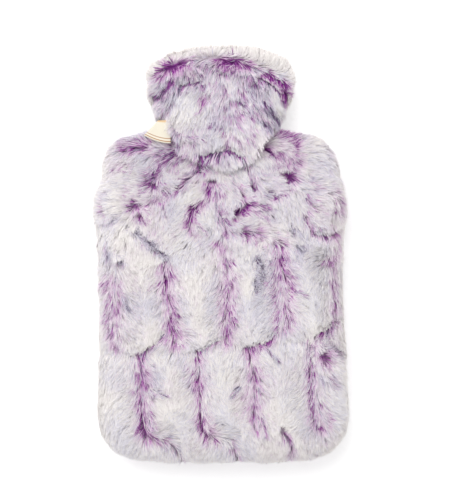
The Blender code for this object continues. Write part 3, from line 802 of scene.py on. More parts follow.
@dataclass
class Pile:
    """Strands of pile on a backing. Each is a slim leaf of two triangles: root, two sides, tip.

    lock and tuft are how far apart the two sizes of clump stand, wander is how far they turn from the
    combing, and roll how far a strand turns about itself. A strand's middle lies at shares of its run and
    of its rise, the pulls draw its tip to the middles of its clumps, and no strand goes below lowest.
    """

    name: str
    seed: int
    length: float = 0.0115
    height: float = PILE
    width: float = 0.00050
    lock: float = 0.0046
    tuft: float = 0.0014
    wander: float = 0.16
    roll: float = 0.38
    middle_run: float = 0.45
    middle_rise: float = 0.75
    lock_pull: float = 0.22
    tuft_pull: float = 0.45
    lowest: float = 0.0004

    def grow(self, roots: Roots, comb: Combing, material: bpy.types.Material) -> bpy.types.Object:
        """Grow the strands.

        Args:
            roots: Where the strands stand.
            comb: What the pile does there.
            material: The fibre's finish.

        Returns:
            The piece.
        """
        rng = np.random.default_rng(self.seed)
        clumps = self.clumps(roots, rng)
        points = self.leaves(roots, comb, clumps, rng)
        first = (np.arange(len(roots.p)) * 4)[:, None]
        faces = (first + np.array([0, 2, 1, 1, 2, 3])).reshape(-1, 3)
        mesh = new_mesh(self.name, points, faces)
        dye = self.dyes(comb, clumps, rng)
        # Strands drawn grey: slate dye, partly painted shade.
        across, sliver = PALETTE.place(dye, rng.random(len(dye)) < comb.slate_and_shade), 0.002
        u = np.stack([across, across + sliver, across - sliver, across - sliver, across + sliver, across], 1)
        v = np.broadcast_to([0.02, 0.5, 0.5, 0.5, 0.5, 0.98], u.shape)
        add_map(mesh, "OFBake", np.stack([u, v], axis=2))
        return add_piece(mesh, material)

    def clumps(self, roots: Roots, rng: np.random.Generator) -> Clumps:
        """Gather the strands in locks and in tufts.

        Args:
            roots: Where the strands stand.
            rng: The seeded generator.

        Returns:
            What each strand has from its lock and its tuft.
        """
        lock_p, lock_q, lock = tufted(roots, self.lock, self.seed + 100)
        tuft_p, tuft_q, tuft = tufted(roots, self.tuft, self.seed)
        shared = rng.normal(0.0, 1.0, (5, NET))
        pull = (self.lock_pull * lock_p + self.tuft_pull * tuft_p)[:, None] * roots.across
        pull = pull + (self.lock_pull * lock_q + self.tuft_pull * tuft_q)[:, None] * roots.down
        return Clumps(*shared[:3, tuft], *shared[3:, lock], pull)

    def leaves(self, roots: Roots, comb: Combing, clumps: Clumps, rng: np.random.Generator) -> np.ndarray:
        """Shape the strands.

        A strand leaves its root along the surface where the pile runs and rises to the pile's height:
        most of it by its middle. Its tip is drawn towards those of its clumps.

        Args:
            roots: Where the strands stand.
            comb: What the pile does there.
            clumps: What the strands' clumps share.
            rng: The seeded generator.

        Returns:
            Each strand's root, two sides and tip, one after the other.
        """
        count = len(roots.p)
        run = np.concatenate([comb.run, np.zeros((count, 1))], axis=1)
        run = run - roots.normal * (run * roots.normal).sum(1, keepdims=True)
        ahead = unit(run + roots.across * rng.normal(0.0, 0.05, (count, 1)))
        aside = np.cross(roots.normal, ahead)
        turn = clumps.lock_turn + 0.7 * clumps.tuft_turn + 0.5 * rng.normal(0.0, 1.0, count)
        turn = turn * self.wander + comb.wild * (1.4 * clumps.tuft_turn + 0.6 * rng.normal(0.0, 1.0, count))
        ahead = ahead * np.cos(turn)[:, None] + aside * np.sin(turn)[:, None]
        aside = np.cross(roots.normal, ahead)

        scale = np.clip(1.0 + 0.06 * clumps.tuft_rise + 0.09 * rng.normal(0.0, 1.0, count), 0.5, 1.5)
        height = (self.height * comb.rise * scale * clamp(0.5 + comb.room / 0.024))[:, None]
        reach = np.sqrt(np.maximum(self.length**2 - height**2, (0.3 * self.length) ** 2))
        room = comb.room * np.clip(1.0 + 0.12 * clumps.tuft_rise, 0.7, 1.4)
        reach = np.minimum(reach * scale[:, None], room[:, None]) * (1.0 - 0.72 * comb.wild[:, None])
        pull = clumps.pull * (0.36 + 0.70 * comb.dye + 0.8 * comb.wild)[:, None]
        out, up = ahead * reach, roots.normal * height
        middle = roots.place + out * self.middle_run + up * self.middle_rise + pull * 0.35
        tip = roots.place + out + up + pull
        rolled = rng.normal(0.0, self.roll, (count, 1))
        edge = aside * np.cos(rolled) + roots.normal * np.sin(rolled)
        half = edge * self.width * rng.uniform(0.35, 0.65, (count, 1))
        points = np.stack([roots.place, middle - half, middle + half, tip], axis=1).reshape(-1, 3)
        points[:, 2] = np.maximum(points[:, 2], self.lowest)
        return points

    def dyes(self, comb: Combing, clumps: Clumps, rng: np.random.Generator) -> np.ndarray:
        """How much dye each strand takes: its own tone, over it the parting's dye, and both uneven from
        lock to lock, from tuft to tuft and from strand to strand.

        Args:
            comb: What the pile does there.
            clumps: What the strands' clumps share.
            rng: The seeded generator.

        Returns:
            The share of dye.
        """
        lock, tuft, tone = clumps.lock_dye, clumps.tuft_dye, comb.tone
        uneven = 0.12 * lock + 0.32 * tuft + 0.42 * rng.normal(0.0, 1.0, len(tone))
        dye = tone + (1.0 - tone) * comb.dye * np.clip(np.exp(uneven - 0.10), 0.2, 2.6)
        dye = dye + (0.015 + 0.20 * tone) * tuft + 0.20 * tone * lock
        dye = dye + 7.0 * tone**2 * np.maximum(tuft - 1.0, 0.0)
        return dye + (0.022 + 0.12 * tone) * rng.normal(0.0, 1.0, len(tone))


@dataclass
class Body:
    """The cover's body without its pile, or with it: a flat outline whose two faces rise from the seam.

    inset is the depth of pile that is left out, and crown how far the front falls away at its sides.
    """

    inset: float
    crown: float = 0.07
    furrow_depth: float = 0.0020
    furrow_width: float = 0.007
    ledge_length: float = 0.022
    ledge_softness: float = 0.0015
    least_rise: float = 0.0002

    def __post_init__(self) -> None:
        """Take in the outline by the inset."""
        table = np.stack([column(OUTLINE, name) for name in ("y", "left", "right")], axis=1)
        stations = smooth_line(table, 8)
        self.outer_y = stations[:, 0]
        self.y = self.outer_y + along(SECTIONS, self.outer_y, "inward") * self.inset
        self.left = stations[:, 1] + self.inset
        self.right = stations[:, 2] - self.inset
        right = np.stack([self.right, self.y], axis=1)
        left = np.stack([self.left, self.y], axis=1)[::-1]
        self.line = np.vstack([left, right])

    def edge_distance(self, x: np.ndarray, y: np.ndarray) -> np.ndarray:
        """How far each place is from the outline, the neck's open end left out.

        Args:
            x: Places across the cover.
            y: Places along it.

        Returns:
            The distances.
        """
        start, run = self.line[:-1], np.diff(self.line, axis=0)
        place = np.stack([x.ravel(), y.ravel()], axis=1)
        best = np.full(len(place), np.inf)
        for a, r in zip(start, run):
            gap = place - a
            part = clamp(gap @ r / max(r @ r, 1e-18))
            best = np.minimum(best, np.hypot(*(gap - part[:, None] * r).T))
        return best.reshape(x.shape)

    def inside(self, x: np.ndarray, y: np.ndarray) -> np.ndarray:
        """Whether each place lies within the outline."""
        return (x > np.interp(y, self.y, self.left)) & (x < np.interp(y, self.y, self.right))

    def rise(self, x: np.ndarray, y: np.ndarray, face: Face) -> np.ndarray:
        """How high a face stands over the seam: its height along the cover, times a quarter circle over
        the distance from the edge, and on the front a slight crown across.

        Args:
            x: Places across the cover.
            y: Places along it.
            face: The front or the back.

        Returns:
            The height at each place.
        """
        radius = along(SECTIONS, y, "edge") - self.inset
        inward = clamp(self.edge_distance(x, y) / radius)
        edge = np.sqrt(1.0 - (1.0 - inward) ** 2)
        if face is Face.BACK:
            return np.minimum((along(SECTIONS, y, "back") - self.inset) * edge, SEAM_Z - PRESSED)
        crown = 1.0 - self.crown * np.clip(x / HALF_WIDTH, -1.0, 1.0) ** 2
        return (along(SECTIONS, y, "front") * crown - self.inset) * edge + self.relief(x, y) * edge

    def relief(self, x: np.ndarray, y: np.ndarray) -> np.ndarray:
        """The front's furrows under its partings, bell curves across them, and the steps at its tiles'
        lower ends, ramps that end in a soft step.

        Args:
            x: Places across the cover.
            y: Places along it.

        Returns:
            How far each place stands over the plain face.
        """
        depth, height = np.zeros_like(x), np.zeros_like(x)
        for parting in FRONT_PARTINGS:
            if parting.lean in (BOTH, BELOW):
                furrow = bell(parting.foot(x, y).distance, self.furrow_width)
                depth = np.maximum(depth, self.furrow_depth * parting.dye * furrow)
        for ledge in LEDGES:
            half = (ledge.x1 - ledge.x0) / 2
            sideways = (x - ledge.x0 - half) / half
            above = y - (ledge.y - ledge.sag * (1.0 - sideways**2))
            tile = ledge.drop * clamp(1.0 - sideways**4) * clamp(1.0 - above / self.ledge_length)
            height = np.maximum(height, tile * step(above, self.ledge_softness))
        return height - depth

    def sheet(self, face: Face, panel: Panel) -> Surface:
        """A face as a grid, closer together where it turns over at its edges.

        Args:
            face: The front or the back.
            panel: Says how many cells.

        Returns:
            The grid, its outward side outwards.
        """
        turn = np.linspace(0.0, math.pi / 2, ROUNDING)
        edge = (EDGE - self.inset) * (1.0 - np.cos(turn)) / (2 * HALF_WIDTH)
        middle = np.linspace(edge[-1], 1.0 - edge[-1], panel.columns + 1)[1:-1]
        across = np.concatenate([edge, middle, 1.0 - edge[::-1]])
        foot = FOOT_Y + EDGE * (1.0 - np.cos(turn))
        body = np.linspace(foot[-1], NECK_Y, panel.rows + 1)[1:]
        neck = np.linspace(NECK_Y, NECK_TOP_Y, ROUNDING)[1:]
        outer = np.concatenate([foot, body, neck])
        left, right, y = (np.interp(outer, self.outer_y, side) for side in (self.left, self.right, self.y))
        x = left[:, None] + (right - left)[:, None] * across[None, :]
        y = np.broadcast_to(y[:, None], x.shape)
        height = np.maximum(self.rise(x, y, face), self.least_rise)
        return Surface(np.stack([x, y, SEAM_Z + face.value * height], axis=2), side=face.value)


@dataclass
class Comb:
    """How a face's pile is combed: away from its partings, over a run that it has by itself.

    reach is how far a parting turns the pile and push how strongly, and past margin it does nothing. By
    climb the push has set in, as far as drawn the pile is drawn along the line, as far as hanging it
    hangs over it, and nearer than standing or sunken it stands every way or lies lower. rim is how wide
    the lighter, nearly undyed edge is, which at the neck starts at rim_top: partly clean cloth and partly
    painted highlight where the edge turns to the light.
    """

    partings: tuple[Parting, ...] = FRONT_PARTINGS
    reach: float = 0.021
    push: float = 1.25
    margin: float = 0.035
    climb: float = 0.005
    drawn: float = 0.008
    hanging: float = 0.014
    standing: float = 0.0018
    sunken: float = 0.0026
    rim: float = 0.013
    rim_top: float = 0.1105

    def by_itself(self, x: np.ndarray, y: np.ndarray) -> tuple[np.ndarray, np.ndarray]:
        """Where the pile runs with no parting near: down, and out from the neck on the shoulders.

        Args:
            x: Places across the cover.
            y: Places along it.

        Returns:
            How far it runs across and along the cover.
        """
        fan = ramp(y, -0.010, 0.060)
        from_neck = unit(np.stack([x * 1.15, y - 0.135], axis=1))
        return from_neck[:, 0] * fan, from_neck[:, 1] * fan - (1.0 - fan) * 0.9

    def room(self, x: np.ndarray, y: np.ndarray) -> np.ndarray:
        """How far the pile may reach before it would hang over the lower end of its row."""
        above = y - np.interp(x, *ROW_EDGE.T)
        return np.where(above > 0.0, np.maximum(above * 1.1 + 0.0052, 0.0078), ROOM)

    def upper(self, y: np.ndarray) -> np.ndarray:
        """How far up the cover places are: none of it on the tiles, all of it by the neck."""
        return ramp(y, 0.005, 0.035)

    def tone(self, x: np.ndarray, y: np.ndarray) -> np.ndarray:
        """The dye that the pile has by itself, in soft patches, and less towards the rim, partly clean cloth
        and partly painted highlight.

        Args:
            x: Places across the cover.
            y: Places along it.

        Returns:
            The share of dye.
        """
        patches = soft_noise(x, y, 0.026, 5) + 0.6 * soft_noise(x, y, 0.011, 6)
        upper = self.upper(y)
        # More tone and wider patches towards the neck: partly the cloth's lilac and partly painted shade of
        # the folds that fan out from under the collar.
        tone = np.clip(0.10 + 0.060 * upper + (0.09 + 0.070 * upper) * patches, 0.0, 0.40)
        return tone * self.inwards(x, y)

    def at(self, x: np.ndarray, y: np.ndarray) -> Combing:
        """Comb each place.

        From a parting the pile is pushed away, most some millimetres from it, and drawn along it a
        little. Its dye fades in bell curves of the distance, and lies a little wider on the right.

        Args:
            x: Places across the cover.
            y: Places along it.

        Returns:
            The combing.
        """
        # Grey strands in patches all over: partly the cloth's slate grey, partly painted cool shade.
        slate_and_shade = np.clip(0.30 + 0.05 * self.upper(y) + 0.5 * soft_noise(x, y, 0.020, 8), 0.0, 0.8)
        turn = 0.24 * soft_noise(x, y, 0.016, 3) + 0.16 * soft_noise(x, y, 0.006, 4)
        comb = Combing(
            run=np.stack(self.by_itself(x, y), axis=1),
            dye=np.zeros_like(x),
            slate_and_shade=slate_and_shade,
            rise=1.0 + 0.12 * soft_noise(x, y, 0.009, 7),
            room=self.room(x, y),
            tone=self.tone(x, y),
            wild=np.zeros_like(x),
        )
        for parting in self.partings:
            low, high = parting.curve().min(axis=0) - self.margin, parting.curve().max(axis=0) + self.margin
            near = (x > low[0]) & (x < high[0]) & (y > low[1]) & (y < high[1])
            if near.any():
                self.part(comb, near, parting, x[near], y[near])
        cos, sin = np.cos(turn), np.sin(turn)
        run_x, run_y = comb.run.T
        comb.run = unit(np.stack([run_x * cos - run_y * sin, run_x * sin + run_y * cos], axis=1))
        # Less dye and grey near the edges: painted highlight on the rim, partly clean cloth.
        inwards = self.inwards(x, y)
        comb.dye *= inwards
        # Greyer towards the neck: partly painted shade of the folds there.
        comb.slate_and_shade = (comb.slate_and_shade + 0.06 * self.upper(y) * (1.0 - comb.slate_and_shade)) * inwards
        return comb

    def part(self, comb: Combing, near: np.ndarray, parting: Parting, x: np.ndarray, y: np.ndarray) -> None:
        """Part the pile along one line.

        Args:
            comb: The combing, which is changed.
            near: Which of its places lie near enough.
            parting: The line.
            x: Those places across the cover.
            y: Those places along it.
        """
        line, foot, lean = parting.curve(), parting.foot(x, y), parting.lean
        distance, spread = foot.distance, parting.spread * MM
        here = np.ones_like(distance)
        away, along_line = 0.0, 0.0
        if lean in (BOTH, BELOW):
            # How squarely the line crosses the pile's own run.
            own_x, own_y = self.by_itself(x, y)
            cross = np.abs(own_x * foot.along_y - own_y * foot.along_x) * foot.beside
            reach = self.reach * min(1.0, 0.38 + np.hypot(*np.diff(line, axis=0).T).sum() / 0.035)
            climb = 1.0 - (1.0 - (0.32 + 0.30 * cross)) * bell(distance, self.climb)
            fade = bell(distance, reach) * (0.4 + 0.6 * parting.dye)
            away = self.push * (1.0 + 1.1 * cross) * climb * fade * (0.25 + 0.75 * foot.beside)
            along_line = 0.5 * bell(distance, self.drawn) * parting.dye * (1.0 - cross)
        if lean is BELOW:
            here = step(line[:, 1].max() - y, 0.0008)
        if lean is UNDER:
            over = (foot.away_y > 0.0) & (foot.beside > 0.6) & (distance < self.hanging)
            stop = np.where(over, np.maximum(distance * 1.10 + 0.0006, 0.0040), ROOM)
            comb.room[near] = np.minimum(comb.room[near], stop)
            here = (foot.away_y < 0.0).astype(float)
        if lean is AROUND:
            away = 2.2 * bell(distance, 2.2 * spread)
        # Along a line the dark strands are raised to lie on top, so that they paint the shade of a gap
        # between locks as well as the dye.
        if lean is ALONG:
            along_line = 3.0 * bell(distance, 1.6 * spread)
            comb.rise[near] += 0.25 * bell(distance, 1.3 * spread)
        comb.run[near, 0] += (foot.away_x * away + foot.along_x * along_line) * here
        comb.run[near, 1] += (foot.away_y * away + foot.along_y * along_line) * here

        # The dye has a wide part and a narrow, darker core.
        spread = spread * self.lopsided(foot)
        share = 0.45 + 0.35 * parting.dye
        shown = share * bell(distance, spread) + (1.0 - share) * bell(distance, 0.42 * spread)
        shown = parting.dye * shown * here
        if lean is BOTH:
            mixed = 0.25 * parting.dye * cross * bell(distance, self.standing)
            comb.wild[near] = np.maximum(comb.wild[near], mixed)
        if lean is UPRIGHT:
            up = np.exp(-((distance / (1.15 * spread)) ** 3))
            comb.wild[near] = np.maximum(comb.wild[near], up)
            shown = parting.dye * up
        old = comb.dye[near]
        comb.dye[near] = np.maximum(old, shown)
        # Where a line's dye wins it brings its grey, which on some lines is painted shade.
        blend = np.where(shown > old, clamp(shown * 3.0), 0.0)
        comb.slate_and_shade[near] += (parting.slate_and_shade - comb.slate_and_shade[near]) * blend
        if lean is not ALONG:
            comb.rise[near] *= 1.0 - 0.30 * parting.dye * bell(distance, self.sunken) * here

    def lopsided(self, foot: Foot) -> np.ndarray:
        """How much wider than its spread a parting's dye lies: more on the right than on the left."""
        return 1.0 + 0.25 * np.clip(foot.away_x, -0.5, 1.0)

    def inwards(self, x: np.ndarray, y: np.ndarray) -> np.ndarray:
        """How much of the dye a place takes: all of it but near the edges, for the lighter rim, partly clean
        cloth and partly painted highlight.

        Args:
            x: Places across the cover.
            y: Places along it.

        Returns:
            The share of dye.
        """
        stations = column(OUTLINE, "y")
        left, right = (np.interp(y, stations, column(OUTLINE, side)) for side in ("left", "right"))
        from_edge = np.maximum(np.minimum(x - left, right - x) - PILE, 0.0)
        from_top = np.maximum(self.rim_top - y, 0.0)
        return clamp(0.22 + np.minimum(from_edge / self.rim, from_top / 0.014))


def back_partings(tile: float = 50.0, row: float = 72.0, top: float = 90.0) -> tuple[Parting, ...]:
    """The back's partings: four rows of tiles, half a tile across each other.

    Args:
        tile: A tile's width, in millimetres.
        row: A row's height.
        top: Where the first row starts.

    Returns:
        The partings, row by row.
    """
    rows = []
    for k in range(4):
        high = top - row * k
        for n in range(-2, 3):
            x = (n + 0.5 * (k % 2)) * tile
            rows.append((((x, high), (x + 3.0, high - row * 0.92)), 0.60, 4.5, BELOW))
    return rows_of(Parting, *rows)


@dataclass
class BackComb(Comb):
    """The back's pile, which is cut from the same cloth and runs on over its rows of tiles."""

    partings: tuple[Parting, ...] = back_partings()

    def room(self, x: np.ndarray, y: np.ndarray) -> np.ndarray:
        """Nothing stops the back's pile."""
        return np.full_like(x, ROOM)


@dataclass
class CollarComb(Comb):
    """The collar's pile: from a parting under the crest it runs up over it, and down the flap. It takes
    dye as far as side from its middle."""

    partings: tuple[Parting, ...] = COLLAR_PARTINGS
    reach: float = 0.011
    push: float = 0.7
    side: float = 0.0580

    def crest(self, x: np.ndarray) -> np.ndarray:
        """The height of the parting under the crest."""
        return np.interp(x, *CREST_PARTING.T)

    def by_itself(self, x: np.ndarray, y: np.ndarray) -> tuple[np.ndarray, np.ndarray]:
        """Up above the parting under the crest, down below it, and out to the sides on both."""
        return np.clip(x / 0.035 * 0.6, -0.9, 0.9), 1.4 * np.tanh((y - self.crest(x)) / 0.002)

    def room(self, x: np.ndarray, y: np.ndarray) -> np.ndarray:
        """Nothing stops the collar's pile."""
        return np.full_like(x, ROOM)

    def tone(self, x: np.ndarray, y: np.ndarray) -> np.ndarray:
        """The collar's dye is patchier than the body's."""
        return np.clip(2.0 * super().tone(x, y) - 0.135, 0.0, 0.46)

    def inwards(self, x: np.ndarray, y: np.ndarray) -> np.ndarray:
        """How much of the dye a place takes: next to none on the crest and at the collar's sides, partly
        clean cloth and partly painted highlight.
        """
        below = self.crest(x) + 0.0005 - y
        return np.clip(np.minimum(below / 0.0015, (self.side - np.abs(x)) / 0.003), 0.04, 1.0)

    def lopsided(self, foot: Foot) -> np.ndarray:
        """The dye reaches less far up, where the pile runs clean over the crest."""
        return 1.0 - 0.84 * np.clip(1.4 * foot.away_y, 0.0, 1.0)


@dataclass(frozen=True)
class Girth:
    """The collar's outer half width and middle at one height."""

    y: float
    half_width: float
    centre: float


@dataclass(frozen=True)
class Edge:
    """The collar's crest and its two hems, across its width."""

    x: float
    crest: float
    front_hem: float
    back_hem: float


@dataclass
class Collar:
    """The turned-down collar: a hook-shaped section carried round the neck as a flattened ring.

    top is how round its crest is, hem_pile how far the pile hangs below the hem of its backing, tuck how
    much lower the flap lies at its hem and tuck_length from how far above it, and thickness how far the
    flap's outer side stands off the neck. ease and clearance are what stays free over the neck and over
    the shoulders, and squareness is the power of the section's ellipse, 2 in a round one.
    """

    girths: tuple[Girth, ...] = rows_of(
        Girth,
        (0.0700, 0.0520, 0.0010), (0.1100, 0.0535, -0.0010), (0.1200, 0.0560, -0.0010),
        (0.1350, 0.0620, -0.0005), (0.1480, 0.0655, -0.0005), (0.1620, 0.0625, -0.0005),
        (CREST_Y, 0.0560, 0.0005),
    )
    edges: tuple[Edge, ...] = rows_of(
        Edge,
        (-0.0600, 0.1700, 0.1195, 0.1195), (-0.0530, 0.1720, 0.1195, 0.1190),
        (-0.0450, 0.1728, 0.1190, 0.1140), (-0.0432, 0.1736, 0.0950, 0.1080),
        (-0.0360, 0.1786, 0.0865, 0.1020), (-0.0150, 0.1818, 0.0796, 0.0940),
        (0.0060, CREST_Y, 0.0726, 0.0920), (0.0210, 0.1822, 0.0780, 0.0940),
        (0.0320, 0.1798, 0.0850, 0.1000), (0.0420, 0.1762, 0.0970, 0.1040),
        (0.0480, 0.1735, 0.1080, 0.1100), (0.0530, 0.1710, 0.1130, 0.1130),
        (0.0600, 0.1690, 0.1135, 0.1135),
    )
    furrows: tuple[Parting, ...] = rows_of(
        Parting,
        (((-52, 156), (-34, 168), (4, 171)), 0.50), (((4, 171), (30, 160), (58, 142)), 0.80),
        (((-36, 150), (-18, 153)), 0.60), (((-34, 143), (-46, 118)), 1.0),
        (((-37, 114), (-37, 92)), 0.80), (((36, 138), (48, 122)), 0.60),
        (((30, 124), (42, 112)), 0.50), (((-10, 138), (-20, 126)), 0.45),
        (((4, 112), (6, 100)), 0.50), (((-12, 89), (0, 93), (14, 90)), 0.60),
    )
    furrow_depth: float = 0.0040
    tuck: float = 0.0050
    tuck_length: float = 0.028
    top: float = 0.0130
    crest_drop: float = 0.0028
    crest_half_width: float = 0.0435
    hem_half_width: float = 0.0535
    hem_pile: float = 0.0070
    thickness: float = 0.0120
    ease: float = 0.0010
    clearance: float = 0.0015
    squareness: float = 2.8
    body: Body = field(default_factory=lambda: Body(inset=0.0))

    def surface(self, panel: Panel) -> Surface:
        """The outer side of the backing: from the crest's inner lip over it and down to the hem.

        Round the neck the section is a squared ellipse. At each turn it leaves the mouth's wall at the
        neck's top edge, runs up it, over the crest in a half circle, and down the flap's outer face.

        Args:
            panel: Says how many cells round the neck and down the flap.

        Returns:
            The grid, from the mouth to the hem.
        """
        turn = np.arange(panel.columns + 1) % panel.columns * 2 * math.pi / panel.columns
        power = 2 / self.squareness
        across, up = (np.sign(way) * np.abs(way) ** power for way in (np.cos(turn), np.sin(turn)))
        front = np.sin(turn) >= 0.0
        neck = np.where(front, NECK_FRONT, NECK_BACK)
        edge_x = column(self.edges, "x")
        crest = np.interp(self.crest_half_width * across, edge_x, column(self.edges, "crest"))
        crest = crest - PILE - self.crest_drop
        hems = (np.interp(self.hem_half_width * across, edge_x, column(self.edges, name))
                for name in ("front_hem", "back_hem"))
        hem = np.where(front, *hems) + self.hem_pile
        top = self.top - PILE

        # Down the section: up the mouth's wall, over the crest, and down the flap.
        inner = np.linspace(0.0, 1.0, 6, endpoint=False)[:, None]
        bend = np.linspace(0.0, math.pi, 13)[:, None]
        fall = np.linspace(0.0, 1.0, panel.rows + 1)[1:, None]
        start = NECK_TOP_Y + 0.0005
        y = np.concatenate([
            start + (crest - top - start) * inner,
            crest - top + top * np.sin(bend),
            crest - top + (hem - crest + top) * fall,
        ])
        outer = np.concatenate([0.0 * inner, (1.0 - np.cos(bend)) / 2, 1.0 + 0.0 * fall])
        mouth_x = (NECK_HALF_WIDTH - NECK_WALL + BACKING) * across
        mouth_z = SEAM_Z + (neck - NECK_WALL + BACKING) * up
        flap_x = along(self.girths, y, "centre") + (along(self.girths, y, "half_width") - PILE) * across
        full = np.where(front, NECK_FRONT + self.ease + self.thickness - PILE, SEAM_Z - PRESSED)
        near_hem = clamp(1.0 - (y - hem) / self.tuck_length) ** 2
        tuck = self.tuck * ramp(up, 0.75, 0.2) * near_hem
        flap_z = SEAM_Z + full * up + self.lift(y, across, up, front, neck) - tuck
        furrow = np.zeros_like(flap_x)
        for line in self.furrows:
            groove = bell(line.foot(flap_x, y).distance, line.spread * MM)
            furrow = np.maximum(furrow, self.furrow_depth * line.dye * groove)
        flap_z = np.maximum(flap_z - furrow * clamp(up), PRESSED)
        x = mouth_x * (1 - outer) + flap_x * outer
        z = mouth_z * (1 - outer) + flap_z * outer
        return Surface(np.stack([x, y, z], axis=2))

    def lift(self, y: np.ndarray, across: np.ndarray, up: np.ndarray, front: np.ndarray,
             neck: np.ndarray) -> np.ndarray:
        """How far the shoulders push the flap off the neck's line.

        Args:
            y: The places' heights along the cover.
            across: Their places round the neck, as shares of its half width.
            up: The same, as shares of its height.
            front: Which of them lie in front.
            neck: How far the neck stands over the seam there.

        Returns:
            The lift, which is downwards on the back.
        """
        x = np.broadcast_to((NECK_HALF_WIDTH + self.ease) * across, y.shape)
        z = SEAM_Z + (neck + self.ease) * up
        above = SEAM_Z + self.body.rise(x, y, Face.FRONT) + self.clearance - z
        below = SEAM_Z - self.body.rise(x, y, Face.BACK) - self.clearance - z
        return np.where(front, np.maximum(above, 0.0), np.minimum(below, 0.0)) * self.body.inside(x, y)

    def showing(self, up: np.ndarray, z: np.ndarray) -> np.ndarray:
        """How much dye shows by how far the collar faces up: none in the mouth or behind the neck, and less
        where it turns away on its crest and sides, which is painted highlight.
        """
        return clamp((up - 0.05) * 2.5) * ramp(z - SEAM_Z, 0.002, 0.004)


def srgb(red: int, green: int, blue: int) -> tuple[float, float, float, float]:
    """A colour given as the eye sees it, in the light values that shaders take.

    Args:
        red: Its red, from 0 to 255.
        green: Its green.
        blue: Its blue.

    Returns:
        The colour, opaque.
    """
    share = [value / 255 for value in (red, green, blue)]
    linear = [s / 12.92 if s <= 0.04045 else ((s + 0.055) / 1.055) ** 2.4 for s in share]
    return (*linear, 1.0)


@dataclass(frozen=True)
class Tone:
    """One dyed tone of the pile, by its place on the palette, at a strand's root, middle and tip."""

    place: float
    root: tuple[int, int, int]
    middle: tuple[int, int, int]
    tip: tuple[int, int, int]


TONES = rows_of(
    Tone,
    (0.00, (226, 219, 221), (246, 241, 240), (255, 252, 249)),
    (0.08, (196, 184, 194), (230, 221, 225), (251, 247, 246)),
    (0.18, (178, 153, 180), (223, 206, 220), (248, 243, 247)),
    (0.30, (153, 98, 155), (211, 178, 207), (245, 235, 243)),
    (0.42, (126, 50, 130), (191, 127, 189), (239, 215, 236)),
    (0.52, (98, 15, 106), (155, 63, 159), (218, 166, 216)),
    (PALETTE.bright_end, (64, 2, 77), (110, 18, 120), (162, 66, 165)),
    # The greys: slate dye, and towards the dark end also painted shade for shadowed gaps and shadow lines.
    (PALETTE.grey_start, (190, 184, 198), (222, 218, 228), (246, 244, 250)),
    (0.84, (110, 97, 128), (168, 158, 184), (224, 219, 234)),
    (1.00, (36, 26, 50), (68, 54, 84), (114, 99, 130)),
)


def feed(node: bpy.types.Node, inputs: dict[str | int, object]) -> None:
    """Give a node's inputs their values, or link them to another node's outputs.

    Args:
        node: The node.
        inputs: A value or an output for each input, by its name or number.
    """
    for name, value in inputs.items():
        if isinstance(value, bpy.types.NodeSocket):
            node.id_data.links.new(value, node.inputs[name])
        else:
            node.inputs[name].default_value = value


def add_node(tree: bpy.types.NodeTree, kind: str, inputs: dict[str | int, object] | None = None,
             **settings: object) -> bpy.types.Node:
    """Add a node to a material or a group.

    Args:
        tree: The material's or the group's tree.
        kind: The node's type.
        inputs: A value or an output for each of its inputs.
        settings: Its own settings, by name.

    Returns:
        The node.
    """
    node = tree.nodes.new(kind)
    for name, value in settings.items():
        setattr(node, name, value)
    feed(node, inputs or {})
    return node


def add_colours(tree: bpy.types.NodeTree, place: bpy.types.NodeSocket, stops: list,
                interpolation: str = "LINEAR") -> bpy.types.NodeSocket:
    """Add a ramp of colours.

    Args:
        tree: The material's or the group's tree.
        place: The output that says how far along the ramp.
        stops: Positions, each with its colour in eye values.
        interpolation: How the colours run from stop to stop.

    Returns:
        The colour.
    """
    node = add_node(tree, "ShaderNodeValToRGB", {"Fac": place})
    elements = node.color_ramp.elements
    while len(elements) < len(stops):
        elements.new(1.0)
    node.color_ramp.interpolation = interpolation
    for element, (position, colour) in zip(elements, stops):
        element.position = position
        element.color = srgb(*colour)
    return node.outputs["Color"]


def add_own_map(tree: bpy.types.NodeTree, name: str) -> tuple[bpy.types.Node, bpy.types.Node]:
    """Add a piece's own map: the node that reads it, and one that splits its two directions."""
    place = add_node(tree, "ShaderNodeUVMap", uv_map=name)
    return place, add_node(tree, "ShaderNodeSeparateXYZ", {"Vector": place.outputs["UV"]})


def add_relief(shader: bpy.types.Node, height: bpy.types.NodeSocket, strength: float,
               distance: float) -> None:
    """Give a finish fine relief.

    Args:
        shader: The finish's shader.
        height: The relief's height.
        strength: How strongly it shows.
        distance: How high it stands.
    """
    inputs = {"Strength": strength, "Distance": distance, "Height": height}
    feed(shader, {"Normal": add_node(shader.id_data, "ShaderNodeBump", inputs).outputs["Normal"]})


def new_material(name: str, inputs: dict[str | int, object]) -> tuple[bpy.types.Material, bpy.types.Node]:
    """A material with its shader.

    Args:
        name: The material's name.
        inputs: The shader's values.

    Returns:
        The material and its Principled BSDF.
    """
    material = bpy.data.materials.new(name)
    material.use_nodes = True
    shader = material.node_tree.nodes["Principled BSDF"]
    feed(shader, inputs)
    return material, shader


